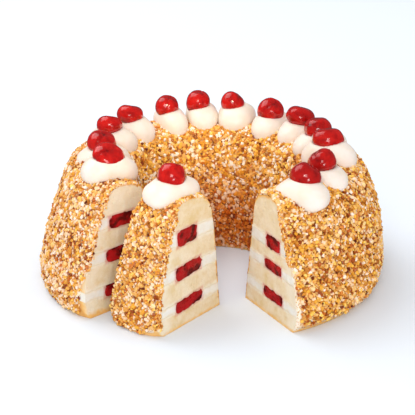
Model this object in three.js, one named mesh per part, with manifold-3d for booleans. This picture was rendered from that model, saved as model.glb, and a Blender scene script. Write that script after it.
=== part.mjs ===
// A ring cake: four sponge layers with buttercream and a strip of cherry filling between them, coated with
// cream and nut brittle and topped with piped cream and cherries. It is cut open at the front, and one slice
// stands in the cut, turned a little.
//
// Millimetres, +Z up, standing on z = 0. A bearing is an angle in degrees round the ring's axis, seen from
// above: 0 at the front (-Y), 90 at the right (+X), 180 at the back. A section is drawn with its x as the
// radius from the axis and its y as the height.

import * as THREE from "three";
import { mergeVertices } from "three/addons/utils/BufferGeometryUtils.js";
import Module from "manifold-3d";

const wasm = await Module();
wasm.setup();

const { degToRad, lerp, seededRandom } = THREE.MathUtils;

// Ring section, on the coat's outer face
const FOOT_RADIUS = 119;
const BULGE_RADIUS = 122.5;
const BULGE_HEIGHT = 15;
const OUTER_SHOULDER = 106;
const INNER_SHOULDER = 60;
const SHOULDER_HEIGHT = 74;
const CROWN_RADIUS = 83;
const CROWN_HEIGHT = 91;
const HOLE_RADIUS = 48.5;
const WALL_LEAN = 1.3; // power of the outer wall's curve from the bulge to the shoulder

// Cuts and slice
const AXIS_Y = -6; // the ring's axis, from the middle of the cake's footprint
const RING_ARC = { start: 28.3, end: 311.1 };
const SLICE_ANGLE = 21;
const SLICE_BEARING = -50;
const SLICE_SHIFT = new THREE.Vector2(37, -17.5); // the slice's own axis, from the ring's

// Layers: floor and top of the three cream layers, lowest first
const CREAM_LEVELS = {
  leftCut: [[12.5, 19], [36.5, 45], [62, 70.5]],
  rightCut: [[13, 20], [34.5, 41.5], [51, 60]],
  slice: [[12.3, 18.8], [35.5, 43.5], [59.8, 69]],
};
const FILLING_INNER = 77;
const FILLING_OUTER = 99;
const FILLING_TAPER = 0.8;
const CREAM_FILM = 1; // cream under the filling
const COAT = 2.6;
const COAT_FOOT = 3; // the baked foot shows below the coat
const GAP = 0.35; // clearance between pieces that touch

// Piped cream and cherries
const TOPPINGS = [
  { bearing: 45.5, radius: 88.5, lift: -3 },
  { bearing: 64, radius: 85.5, lift: -1.5 },
  { bearing: 90, radius: 82.5, lift: 1 },
  { bearing: 111, radius: 84, lift: -0.5 },
  { bearing: 130, radius: 86.5, lift: 0 },
  { bearing: 148.5, radius: 83.5, lift: -1.5 },
  { bearing: 168.5, radius: 86, lift: 1 },
  { bearing: 187, radius: 86.5, lift: 1.5 },
  { bearing: 204.5, radius: 85, lift: 0.5 },
  { bearing: 225.5, radius: 85.5, lift: 0.5 },
  { bearing: 244, radius: 84, lift: 0 },
  { bearing: 267, radius: 80.5, lift: -1 },
  { bearing: 293.5, radius: 79.5, lift: 0.5 },
];
const SLICE_TOPPING = { bearing: 0, radius: 83, lift: 0 };
const DOLLOP_HEIGHT = 91;
const DOLLOP_SIZE = new THREE.Vector3(20.5, 12, 11.5); // half length across the ring, half width, half height
const DOLLOP_SQUARENESS = 2.4;
const DOLLOP_DROOP = 4; // how far the two ends hang over the shoulders
const CHERRY_SIZE = new THREE.Vector3(9.6, 9.2, 8.2);
const CHERRY_HEIGHT = 104;
const CHERRY_DIMPLE = 0.16;
const CHERRY_TILT = 0.45;

// Brittle grains
const GRAIN_SIZE = 2.6;
const GRAINS_RING = 206;
const GRAINS_SLICE = 24;
const GRAIN_SEED = 11;

// Facets
const STEP_DEGREES = 10.5;
const WALL_HEIGHTS = [8, BULGE_HEIGHT, 33, 54, SHOULDER_HEIGHT];
const DOME_STEPS = 3;

// Looks
const SPONGE = { color: 0xf0dfae, roughness: 0.95, metalness: 0 };
const CREAM = { color: 0xfbf4e6, roughness: 0.55, metalness: 0 };
const FILLING = { color: 0xb0141e, roughness: 0.3, metalness: 0 };
const BRITTLE = { color: 0xdda556, roughness: 0.45, metalness: 0 };
const CHERRY = { color: 0xc3181d, roughness: 0.15, metalness: 0 };

// Ring section

/** Outer wall's radius at a height, on a face that lies `inset` inside the coat's own. */
function outerWall(height, inset) {
  const below = Math.max(0, BULGE_HEIGHT - height) / BULGE_HEIGHT;
  const above = Math.max(0, height - BULGE_HEIGHT) / (SHOULDER_HEIGHT - BULGE_HEIGHT);
  const tuck = (BULGE_RADIUS - FOOT_RADIUS) * below ** 2;
  const lean = (BULGE_RADIUS - OUTER_SHOULDER) * above ** WALL_LEAN;
  return BULGE_RADIUS - tuck - lean - inset;
}

/** Inner wall's radius at a height: the hole widens evenly from the floor to the shoulder. */
function innerWall(height, inset) {
  return lerp(HOLE_RADIUS, INNER_SHOULDER, height / SHOULDER_HEIGHT) + inset;
}

/** Points over the top between the two shoulders, which go on with the slopes of the walls. */
function domePoints(inset) {
  const rise = CROWN_HEIGHT - SHOULDER_HEIGHT - inset;
  const crown = new THREE.Vector2(CROWN_RADIUS, CROWN_HEIGHT - inset);
  const outerSlope = (WALL_LEAN * (OUTER_SHOULDER - BULGE_RADIUS)) / (SHOULDER_HEIGHT - BULGE_HEIGHT);
  const innerSlope = (INNER_SHOULDER - HOLE_RADIUS) / SHOULDER_HEIGHT;
  const side = (radius, slope) => {
    const shoulder = new THREE.Vector2(radius, SHOULDER_HEIGHT);
    const corner = new THREE.Vector2(radius + slope * rise, crown.y);
    return new THREE.QuadraticBezierCurve(shoulder, corner, crown).getPoints(DOME_STEPS).slice(1);
  };
  const outer = side(OUTER_SHOULDER - inset, outerSlope);
  const inner = side(INNER_SHOULDER + inset, innerSlope);
  return [...outer, ...inner.reverse().slice(1)];
}

/** The arch of a face that lies `inset` inside the coat's own, from the outer foot to the inner foot. */
function archPoints(inset, foot) {
  const heights = [foot, ...WALL_HEIGHTS.filter((height) => height > foot)];
  return [
    ...heights.map((height) => new THREE.Vector2(outerWall(height, inset), height)),
    ...domePoints(inset),
    new THREE.Vector2(innerWall(SHOULDER_HEIGHT, inset), SHOULDER_HEIGHT),
    new THREE.Vector2(innerWall(foot, inset), foot),
  ];
}

/** Section of a layer between two heights, wall to wall inside the coat. */
function layerSection(floor, top) {
  const inset = COAT + GAP;
  const middle = (floor + top) / 2;
  return [
    new THREE.Vector2(innerWall(floor, inset), floor),
    new THREE.Vector2(outerWall(floor, inset), floor),
    new THREE.Vector2(outerWall(middle, inset), middle),
    new THREE.Vector2(outerWall(top, inset), top),
    new THREE.Vector2(innerWall(top, inset), top),
  ];
}

/** Section of the top layer, from its floor up to the coat's inner face. */
function topLayerSection(floor) {
  return archPoints(COAT + GAP, floor);
}

/** Section of a cream layer, with a trough for the filling that is open at the top. */
function creamSection(floor, top) {
  const inset = COAT + GAP;
  const bed = floor + CREAM_FILM;
  return [
    new THREE.Vector2(innerWall(floor, inset), floor),
    new THREE.Vector2(outerWall(floor, inset), floor),
    new THREE.Vector2(outerWall(top, inset), top),
    new THREE.Vector2(FILLING_OUTER + GAP, top),
    new THREE.Vector2(FILLING_OUTER + GAP, bed),
    new THREE.Vector2(FILLING_INNER - GAP, bed),
    new THREE.Vector2(FILLING_INNER - GAP, top),
    new THREE.Vector2(innerWall(top, inset), top),
  ];
}

/** Section of a filling strip, a little narrower at the top. */
function fillingSection(floor, top) {
  const bed = floor + CREAM_FILM + GAP;
  return [
    new THREE.Vector2(FILLING_INNER, bed),
    new THREE.Vector2(FILLING_OUTER, bed),
    new THREE.Vector2(FILLING_OUTER - FILLING_TAPER, top),
    new THREE.Vector2(FILLING_INNER + FILLING_TAPER, top),
  ];
}

/** Section of the coat: the shell between its own face and the layers. */
function coatSection() {
  return [...archPoints(0, COAT_FOOT), ...archPoints(COAT, COAT_FOOT).reverse()];
}

// Solids

/** A geometry with positions alone and its shared vertices merged. */
function merged(geometry) {
  geometry.deleteAttribute("normal");
  geometry.deleteAttribute("uv");
  return mergeVertices(geometry, 1e-4);
}

/** A closed geometry as a solid that can be joined and cut. */
function solidOf(geometry) {
  const vertProperties = new Float32Array(geometry.attributes.position.array);
  const triVerts = new Uint32Array(geometry.index.array);
  return new wasm.Manifold(new wasm.Mesh({ numProp: 3, vertProperties, triVerts }));
}

/** The geometry of a solid. */
function geometryOf(solid) {
  const mesh = solid.getMesh();
  return new THREE.BufferGeometry()
    .setAttribute("position", new THREE.BufferAttribute(mesh.vertProperties, 3))
    .setIndex(new THREE.BufferAttribute(mesh.triVerts, 1));
}

/** All the heights between which the layers of one cut lie. */
function levelsOf(cut) {
  return [0, ...CREAM_LEVELS[cut].flat(), SHOULDER_HEIGHT];
}

/** Moves a height from one cut's levels towards another's, in proportion between the two nearest levels. */
function shiftedHeight(height, from, to, share) {
  const above = from.findIndex((level) => level >= height);
  if (above < 1) return height;
  const part = (height - from[above - 1]) / (from[above] - from[above - 1]);
  return lerp(height, lerp(to[above - 1], to[above], part), share);
}

/**
 * Bends an extruded section round the axis, from the arc's end back to its start. With `to` given, heights go
 * from the levels `from` at the arc's end to the levels `to` at its start, and a radius keeps its share of the
 * way between the two walls.
 */
function bentRound(section, arc, from, to) {
  const span = arc.end - arc.start;
  const steps = Math.ceil(span / STEP_DEGREES);
  const straight = { depth: 1, steps, bevelEnabled: false };
  const geometry = new THREE.ExtrudeGeometry(new THREE.Shape(section), straight);
  const position = geometry.attributes.position;
  for (let i = 0; i < position.count; i++) {
    const share = position.getZ(i);
    const bearing = degToRad(arc.end - share * span);
    let radius = position.getX(i);
    let height = position.getY(i);
    if (to) {
      const across = (radius - innerWall(height, 0)) / (outerWall(height, 0) - innerWall(height, 0));
      const shifted = shiftedHeight(height, from, to, share);
      if (shifted !== height) radius = lerp(innerWall(shifted, 0), outerWall(shifted, 0), across);
      height = shifted;
    }
    position.setXYZ(i, radius * Math.sin(bearing), -radius * Math.cos(bearing), height);
  }
  return merged(geometry);
}

/** A unit sphere with every point moved by `form`. */
function shapedSphere(around, down, form) {
  const geometry = merged(new THREE.SphereGeometry(1, around, down));
  const position = geometry.attributes.position;
  const point = new THREE.Vector3();
  for (let i = 0; i < position.count; i++) {
    form(point.fromBufferAttribute(position, i));
    position.setXYZ(i, point.x, point.y, point.z);
  }
  return geometry;
}

/** Where a thing stands on the ring: its own +X points away from the axis. */
function standing(radius, bearing, height, tilt = new THREE.Euler()) {
  const turn = degToRad(bearing);
  const place = new THREE.Vector3(radius * Math.sin(turn), -radius * Math.cos(turn), height);
  const facing = new THREE.Quaternion().setFromAxisAngle(new THREE.Vector3(0, 0, 1), turn - Math.PI / 2);
  facing.multiply(new THREE.Quaternion().setFromEuler(tilt));
  return new THREE.Matrix4().compose(place, facing, new THREE.Vector3(1, 1, 1));
}

/** A piped blob: a full oval, wider towards the ring's rim, whose two ends hang over the shoulders. */
function dollopBlob() {
  const power = DOLLOP_SQUARENESS;
  return shapedSphere(12, 6, (point) => {
    const sum = Math.abs(point.x) ** power + Math.abs(point.y) ** power + Math.abs(point.z) ** power;
    point.multiplyScalar(sum ** (-1 / power));
    const droop = DOLLOP_DROOP * point.x ** 2;
    const widening = 1 + (DOLLOP_SIZE.x / CROWN_RADIUS) * point.x;
    point.multiply(DOLLOP_SIZE);
    point.y *= widening;
    point.z -= droop;
  });
}

/** A cherry, `grow` larger all round, with a dimple where its stalk was. */
function cherryBall(grow) {
  return shapedSphere(9, 6, (point) => {
    const fromStalk = Math.acos(THREE.MathUtils.clamp(point.z, -1, 1));
    const dimple = CHERRY_DIMPLE * Math.exp(-((fromStalk / 0.5) ** 2));
    point.multiply(CHERRY_SIZE.clone().addScalar(grow)).multiplyScalar(1 - dimple);
  });
}

/** The coat's own face as a filled body, `grow` larger, which things on top of the coat are fitted to. */
function coatBody(arc, grow) {
  return solidOf(bentRound(archPoints(-grow, 0), arc));
}

/** One brittle grain: an uneven chip, half sunk in the coat at a place on its face. */
function grainSolid(place) {
  const size = GRAIN_SIZE * lerp(0.8, 1.15, seededRandom());
  const chip = merged(new THREE.OctahedronGeometry(1, 0));
  const width = size * lerp(0.65, 0.95, seededRandom());
  const thickness = size * lerp(0.6, 0.85, seededRandom());
  const [x, y, z] = [seededRandom(), seededRandom(), seededRandom()].map((draw) => draw * Math.PI);
  const turn = new THREE.Quaternion().setFromEuler(new THREE.Euler(x, y, z));
  chip.scale(size, width, thickness);
  chip.applyMatrix4(new THREE.Matrix4().makeRotationFromQuaternion(turn));
  chip.translate(place.x, place.y, place.z);
  return solidOf(chip);
}

/** The point of the coat's face at a share of its area, counted from the outer foot to the inner foot. */
function facePoint(share) {
  const arch = archPoints(0, COAT_FOOT + GRAIN_SIZE + 1);
  const areas = arch.slice(1).map((to, i) => to.distanceTo(arch[i]) * (to.x + arch[i].x));
  let left = share * areas.reduce((sum, area) => sum + area, 0);
  const i = areas.findIndex((area) => (left -= area) <= 0);
  return arch[i].clone().lerp(arch[i + 1], 1 + left / areas[i]);
}

/** True where a dollop covers the coat, with room for a grain. */
function underDollop(radius, bearing, toppings) {
  const room = GRAIN_SIZE + 1.5;
  return toppings.some((topping) => {
    const along = radius * Math.sin(degToRad(bearing - topping.bearing));
    const out = radius * Math.cos(degToRad(bearing - topping.bearing)) - topping.radius;
    return (out / (DOLLOP_SIZE.x + room)) ** 2 + (along / (DOLLOP_SIZE.y * 1.2 + room)) ** 2 < 1;
  });
}

/** The coat with grains spread evenly over it by a low-discrepancy sequence, clear of cuts and dollops. */
function brittleCoat(arc, grains, toppings) {
  let coat = solidOf(bentRound(coatSection(), arc));
  for (let i = 1; i <= grains; i++) {
    const at = facePoint((i * 0.7548776662) % 1);
    const margin = THREE.MathUtils.radToDeg((1.3 * GRAIN_SIZE) / at.x);
    const bearing = lerp(arc.start + margin, arc.end - margin, (i * 0.5698402909) % 1);
    if (underDollop(at.x, bearing, toppings)) continue;
    const turn = degToRad(bearing);
    const place = new THREE.Vector3(at.x * Math.sin(turn), -at.x * Math.cos(turn), at.y);
    coat = coat.add(grainSolid(place));
  }
  return geometryOf(coat);
}

// Pieces

/** Adds a named mesh with a material of its own to a group. */
function addPiece(group, name, geometry, look) {
  const mesh = new THREE.Mesh(geometry, new THREE.MeshStandardMaterial(look));
  mesh.name = name;
  group.add(mesh);
}

/** Four sponge layers, three cream layers and three filling strips of one arc. */
function addLayers(group, prefix, arc, fromCut, toCut) {
  const from = levelsOf(fromCut);
  const to = levelsOf(toCut);
  const levels = CREAM_LEVELS[fromCut];
  const bend = (section) => bentRound(section, arc, from, to);
  levels.forEach(([floor, top], i) => {
    const spongeFloor = i ? levels[i - 1][1] + GAP : 0;
    addPiece(group, `${prefix}_sponge_${i + 1}`, bend(layerSection(spongeFloor, floor - GAP)), SPONGE);
    addPiece(group, `${prefix}_cream_${i + 1}`, bend(creamSection(floor, top)), CREAM);
    addPiece(group, `${prefix}_filling_${i + 1}`, bend(fillingSection(floor, top)), FILLING);
  });
  const topFloor = levels[levels.length - 1][1] + GAP;
  addPiece(group, `${prefix}_sponge_${levels.length + 1}`, bend(topLayerSection(topFloor)), SPONGE);
}

/** A dollop, fitted to the coat, with its cherry sunk into it. */
function addTopping(group, names, { bearing, radius, lift }, body) {
  const tilt = new THREE.Euler((seededRandom() - 0.5) * CHERRY_TILT, (seededRandom() - 0.5) * CHERRY_TILT, 0);
  const cherryPlace = standing(radius, bearing, CHERRY_HEIGHT + lift, tilt);
  const dent = solidOf(cherryBall(GAP).applyMatrix4(cherryPlace));
  const blob = solidOf(dollopBlob().applyMatrix4(standing(radius, bearing, DOLLOP_HEIGHT + lift)));
  addPiece(group, names.dollop, geometryOf(blob.subtract(body).subtract(dent)), CREAM);
  addPiece(group, names.cherry, cherryBall(0).applyMatrix4(cherryPlace), CHERRY);
}

function buildRing() {
  const ring = new THREE.Group();
  addLayers(ring, "ring", RING_ARC, "leftCut", "rightCut");
  addPiece(ring, "ring_brittle_coat", brittleCoat(RING_ARC, GRAINS_RING, TOPPINGS), BRITTLE);
  const body = coatBody(RING_ARC, GAP);
  TOPPINGS.forEach((topping, i) => {
    const number = String(i + 1).padStart(2, "0");
    addTopping(ring, { dollop: `dollop_${number}`, cherry: `cherry_${number}` }, topping, body);
  });
  ring.position.y = AXIS_Y;
  return ring;
}

function buildSlice() {
  const slice = new THREE.Group();
  const arc = { start: -SLICE_ANGLE / 2, end: SLICE_ANGLE / 2 };
  addLayers(slice, "slice", arc, "slice", "slice");
  addPiece(slice, "slice_brittle_coat", brittleCoat(arc, GRAINS_SLICE, [SLICE_TOPPING]), BRITTLE);
  addTopping(slice, { dollop: "slice_dollop", cherry: "slice_cherry" }, SLICE_TOPPING, coatBody(arc, GAP));
  slice.rotation.z = degToRad(SLICE_BEARING);
  slice.position.set(SLICE_SHIFT.x, SLICE_SHIFT.y + AXIS_Y, 0);
  return slice;
}

seededRandom(GRAIN_SEED);
const cake = new THREE.Group();
cake.add(buildRing(), buildSlice());

export default cake;
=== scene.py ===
"""A ring cake with nut brittle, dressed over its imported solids.

Lengths are millimetres until a mesh is made. A bearing is an angle in degrees round a ring's axis, seen from
above: 0 at the front (-Y), 90 at the right (+X), 180 at the back. A share of an arc is 0 at its first cut and
1 at its last.
"""

import logging
import math
from collections.abc import Callable
from dataclasses import astuple, dataclass
from enum import Enum
from functools import partial
from itertools import pairwise

import bpy
import numpy as np
from mathutils import Matrix


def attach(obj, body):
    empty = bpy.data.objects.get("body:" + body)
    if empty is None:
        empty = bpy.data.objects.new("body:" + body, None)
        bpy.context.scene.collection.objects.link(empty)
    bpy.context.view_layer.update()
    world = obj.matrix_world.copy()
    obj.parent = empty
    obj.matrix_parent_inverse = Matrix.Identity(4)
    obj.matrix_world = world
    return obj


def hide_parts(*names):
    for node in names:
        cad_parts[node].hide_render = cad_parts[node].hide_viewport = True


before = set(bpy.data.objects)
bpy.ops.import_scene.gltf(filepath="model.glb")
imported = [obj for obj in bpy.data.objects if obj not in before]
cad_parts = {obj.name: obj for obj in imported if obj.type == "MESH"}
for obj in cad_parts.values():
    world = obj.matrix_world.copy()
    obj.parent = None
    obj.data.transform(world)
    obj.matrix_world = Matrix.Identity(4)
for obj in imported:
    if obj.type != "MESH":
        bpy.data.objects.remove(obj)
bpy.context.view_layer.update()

BODY = "root"
MM = 0.001
LOG = logging.getLogger("ring_cake")

Array = np.ndarray
Pair = tuple[float, float]
Triple = tuple[float, float, float]
Piece = bpy.types.Object
Material = bpy.types.Material
Socket = bpy.types.NodeSocket
SectionMap = Callable[[Array, Array, Array], tuple[Array, Array]]
Relief = Callable[[Array, Array, int], Array]


# Noise and blends

def lattice_hash(x: Array, y: Array, z: Array | int, seed: int) -> Array:
    """Mixes the bits of whole-number places into even pseudo-random numbers.

    Args:
        x: places along the first way.
        y: places along the second way.
        z: places along the third way.
        seed: picks one of many patterns.

    Returns:
        A number from 0 to 1 for each place.
    """
    mixed = (x * 374761393 + y * 668265263 + z * 1442695041 + seed * 974634777) & 0xFFFFFFFF
    mixed = ((mixed ^ (mixed >> 13)) * 1274126177) & 0xFFFFFFFF
    return ((mixed ^ (mixed >> 16)) & 0xFFFFFF) / 0xFFFFFF


def value_noise(places: Array, seed: int) -> Array:
    """Smooth noise: hashed corners of a unit lattice, blended by the cubic 3t^2 - 2t^3 in each way.

    Args:
        places: points, with three numbers in the last axis.
        seed: picks one of many patterns.

    Returns:
        Noise from -1 to 1 for each point.
    """
    cell = np.floor(places).astype(np.int64)
    part = places - cell
    part = part * part * (3 - 2 * part)
    total = np.zeros(places.shape[:-1])
    for corner in np.ndindex(2, 2, 2):
        weight = np.prod(np.where(np.array(corner) == 1, part, 1 - part), axis=-1)
        total += weight * lattice_hash(*(cell[..., k] + corner[k] for k in range(3)), seed)
    return total * 2 - 1


def rough_noise(places: Array, size: float, octaves: int, seed: int) -> Array:
    """Sum of value noises, each half as large in its features and its strength as the one before.

    Args:
        places: points, with three numbers in the last axis.
        size: width of the largest features, in the points' unit.
        octaves: how many noises are summed.
        seed: picks one of many patterns.

    Returns:
        Noise of about -1 to 1 for each point.
    """
    total = np.zeros(places.shape[:-1])
    for octave in range(octaves):
        total += value_noise(places * (2.0 ** octave / size), seed + octave) * 0.5 ** octave
    return total / (2 - 0.5 ** (octaves - 1))


def cell_distances(x: Array, y: Array, size: float, seed: int) -> tuple[Array, Array]:
    """Distances to the scattered centres of flat cells, one centre in each square of a jittered grid.

    Args:
        x: first coordinate.
        y: second coordinate.
        size: side of a grid square, in the coordinates' unit.
        seed: picks one of many patterns.

    Returns:
        The distance to the nearest centre, and a number from 0 to 1 for that centre's cell.
    """
    across, along = x / size, y / size
    column, row = np.floor(across).astype(np.int64), np.floor(along).astype(np.int64)
    nearest, owner = np.full(across.shape, np.inf), np.zeros(across.shape)
    for step_x, step_y in np.ndindex(3, 3):
        i, j = column + step_x - 1, row + step_y - 1
        jitter_x, jitter_y, mark = (lattice_hash(i, j, k, seed) for k in range(3))
        distance = np.hypot(across - (i + 0.1 + 0.8 * jitter_x), along - (j + 0.1 + 0.8 * jitter_y))
        owner = np.where(distance < nearest, mark, owner)
        nearest = np.minimum(nearest, distance)
    return nearest * size, owner


def smooth_step(low: float | Array, high: float | Array, value: Array) -> Array:
    """Cubic ramp that is 0 at `low` and 1 at `high`, which may be the smaller one."""
    part = np.clip((value - low) / (high - low), 0, 1)
    return part * part * (3 - 2 * part)


def between(first: float | Array, last: float | Array, share: float | Array) -> float | Array:
    """Goes straight from one value to another."""
    return first * (1 - share) + last * share


def on_cut(radius: Array, height: Array, layer: float) -> Array:
    """Makes places for noise from a cut's radius and height, with a layer of the noise for each cut."""
    return np.stack(np.broadcast_arrays(radius, height, layer), axis=-1)


# Meshes

def new_piece(name: str, points: Array, faces: list[Array], attributes: dict[str, Array],
              sharp_angle: float | None = None) -> Piece:
    """Makes an object at the origin from whole arrays.

    Args:
        name: the piece's name.
        points: one row of x, y, z in millimetres for each vertex.
        faces: arrays of vertex numbers, each with three or four columns.
        attributes: one number for each vertex, by name, for the materials.
        sharp_angle: edges that turn by more degrees than this stay sharp.

    Returns:
        The new object, in the scene.
    """
    mesh = bpy.data.meshes.new(name)
    mesh.vertices.add(len(points))
    mesh.vertices.foreach_set("co", (points * MM).astype(np.float32).ravel())
    corners = np.concatenate([face.ravel() for face in faces]).astype(np.int32)
    counts = np.concatenate([np.full(len(face), face.shape[1]) for face in faces])
    mesh.loops.add(len(corners))
    mesh.loops.foreach_set("vertex_index", corners)
    mesh.polygons.add(len(counts))
    mesh.polygons.foreach_set("loop_start", (np.cumsum(counts) - counts).astype(np.int32))
    mesh.polygons.foreach_set("use_smooth", np.ones(len(counts), dtype=bool))
    for title, values in attributes.items():
        layer = mesh.attributes.new(title, "FLOAT", "POINT")
        layer.data.foreach_set("value", np.asarray(values, dtype=np.float32))
    mesh.update(calc_edges=True)
    if sharp_angle is not None:
        mesh.set_sharp_from_angle(angle=math.radians(sharp_angle))
    piece = bpy.data.objects.new(name, mesh)
    bpy.context.scene.collection.objects.link(piece)
    LOG.info("%s: %d vertices, %d faces", name, len(points), len(counts))
    return piece


def dress(piece: Piece, material: Material, slot: str, *nodes: str) -> None:
    """Gives a piece its material and body, and hides the nodes that it stands for.

    Args:
        piece: the object.
        material: what it is made of.
        slot: not used.
        nodes: names of the nodes that it replaces.
    """
    piece.data.materials.append(material)
    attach(piece, BODY)
    if nodes:
        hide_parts(*nodes)


def grid_quads(rows: int, columns: int) -> Array:
    """Numbers the four corners of each cell of a grid whose vertices are counted row by row."""
    number = np.arange(rows * columns).reshape(rows, columns)
    return np.stack([number[:-1, :-1], number[1:, :-1], number[1:, 1:], number[:-1, 1:]], axis=-1)


def ball_grid(around: int, down: int) -> tuple[Array, list[Array]]:
    """Unit sphere of even rings between two poles.

    Args:
        around: vertices in a ring.
        down: steps from pole to pole.

    Returns:
        The points (x = sin p cos q, y = sin p sin q, z = cos p) and the faces, which point out.
    """
    polar = np.linspace(0, math.pi, down + 1)[1:-1]
    turn = np.arange(around) * (2 * math.pi / around)
    p, q = np.meshgrid(polar, turn, indexing="ij")
    rings = np.stack([np.sin(p) * np.cos(q), np.sin(p) * np.sin(q), np.cos(p)], axis=-1).reshape(-1, 3)
    points = np.concatenate([rings, [[0, 0, 1.0], [0, 0, -1.0]]])
    here = np.arange(around)
    after = (here + 1) % around
    rows = np.arange(down - 2)[:, None] * around
    quads = np.stack([rows + here, rows + around + here, rows + around + after, rows + after], axis=-1)
    last = (down - 2) * around
    north = np.full(around, len(rings))
    cap = np.stack([north, here, after], axis=-1)
    base = np.stack([north + 1, last + after, last + here], axis=-1)
    return points, [quads.reshape(-1, 4), np.concatenate([cap, base])]


# Ring

@dataclass(frozen=True)
class RingSection:
    """Section of the ring, as radius and height on the coat's outer face."""

    foot_radius: float = 119.0
    bulge_radius: float = 122.5
    bulge_height: float = 15.0
    outer_shoulder: float = 106.0
    inner_shoulder: float = 60.0
    shoulder_height: float = 74.0
    crown_radius: float = 83.0
    crown_height: float = 91.0
    hole_radius: float = 48.5
    wall_lean: float = 1.3
    coat: float = 2.6
    coat_foot: float = 3.0
    foot_rise: float = 8.0
    flare_rise: float = 26.0
    flare_power: float = 1.5
    wall_steps: int = 60
    dome_steps: int = 80

    @property
    def hole_slope(self) -> float:
        """How much the hole widens for each millimetre of height."""
        return (self.inner_shoulder - self.hole_radius) / self.shoulder_height

    def foot_tuck(self, height: Array, depth: float | Array) -> Array:
        """How far the foot lies inside the wall.

        A positive depth rounds the foot off by a quarter ellipse; a negative one lets it spread by a power of
        the height that is left.

        Args:
            height: heights.
            depth: what it is at the floor.

        Returns:
            The distance at each height.
        """
        below = np.clip(1 - height / self.foot_rise, 0, 1)
        spread = np.clip(1 - height / self.flare_rise, 0, 1) ** self.flare_power
        return np.where(depth > 0, depth * (1 - np.sqrt(1 - below ** 2)), depth * spread)

    def outer_wall(self, height: Array, inset: float | Array, depth: float | Array = 0.0) -> Array:
        """Outer radius: a tuck with the square of the depth below the bulge, a lean with a power above it.

        Args:
            height: heights.
            inset: how far inside the coat's face.
            depth: how far the foot is rounded off at the floor.

        Returns:
            The radius at each height.
        """
        inset = inset + self.foot_tuck(height, depth)
        below = np.clip(self.bulge_height - height, 0, None) / self.bulge_height
        above = np.clip(height - self.bulge_height, 0, None) / (self.shoulder_height - self.bulge_height)
        tuck = (self.bulge_radius - self.foot_radius) * below ** 2
        lean = (self.bulge_radius - self.outer_shoulder) * above ** self.wall_lean
        return self.bulge_radius - tuck - lean - inset

    def inner_wall(self, height: Array, inset: float | Array) -> Array:
        """Radius of the hole, which widens evenly from the floor to the shoulder."""
        return self.hole_radius + self.hole_slope * height + inset

    def dome(self, across: Array, inset: float | Array) -> tuple[Array, Array]:
        """The top between the shoulders: two quadratic curves that meet level at the crown.

        Args:
            across: from 0 at the inner shoulder, over 0.5 at the crown, to 1 at the outer shoulder.
            inset: how far inside the coat's face.

        Returns:
            Radius and height of each point.
        """
        crown = self.crown_height - inset
        rise = crown - self.shoulder_height
        outer_slope = -self.wall_lean * (self.bulge_radius - self.outer_shoulder)
        outer_slope /= self.shoulder_height - self.bulge_height
        inside = across < 0.5
        part = np.where(inside, 2 * across, 2 - 2 * across)
        shoulder = np.where(inside, self.inner_shoulder + inset, self.outer_shoulder - inset)
        corner = shoulder + np.where(inside, self.hole_slope, outer_slope) * rise
        radius = shoulder * (1 - part) ** 2 + 2 * corner * part * (1 - part) + self.crown_radius * part ** 2
        height = self.shoulder_height * (1 - part) ** 2 + crown * (1 - (1 - part) ** 2)
        return radius, height

    def arch(self, inset: float, foot: float, count: int) -> Array:
        """The whole face from the inner foot over the crown to the outer foot, in even steps.

        Args:
            inset: how far inside the coat's face.
            foot: height at which both walls start.
            count: number of points.

        Returns:
            Rows of radius and height.
        """
        rise = np.linspace(foot, self.shoulder_height, self.wall_steps)
        over = np.linspace(0, 1, self.dome_steps + 1)[1:-1]
        inner = np.stack([self.inner_wall(rise, inset), rise], axis=-1)
        outer = np.stack([self.outer_wall(rise, inset), rise], axis=-1)[::-1]
        line = np.concatenate([inner, np.stack(self.dome(over, inset), axis=-1), outer])
        run = np.concatenate([[0], np.cumsum(np.hypot(*np.diff(line, axis=0).T))])
        even = np.linspace(0, run[-1], count)
        return np.stack([np.interp(even, run, line[:, k]) for k in (0, 1)], axis=-1)


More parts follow.
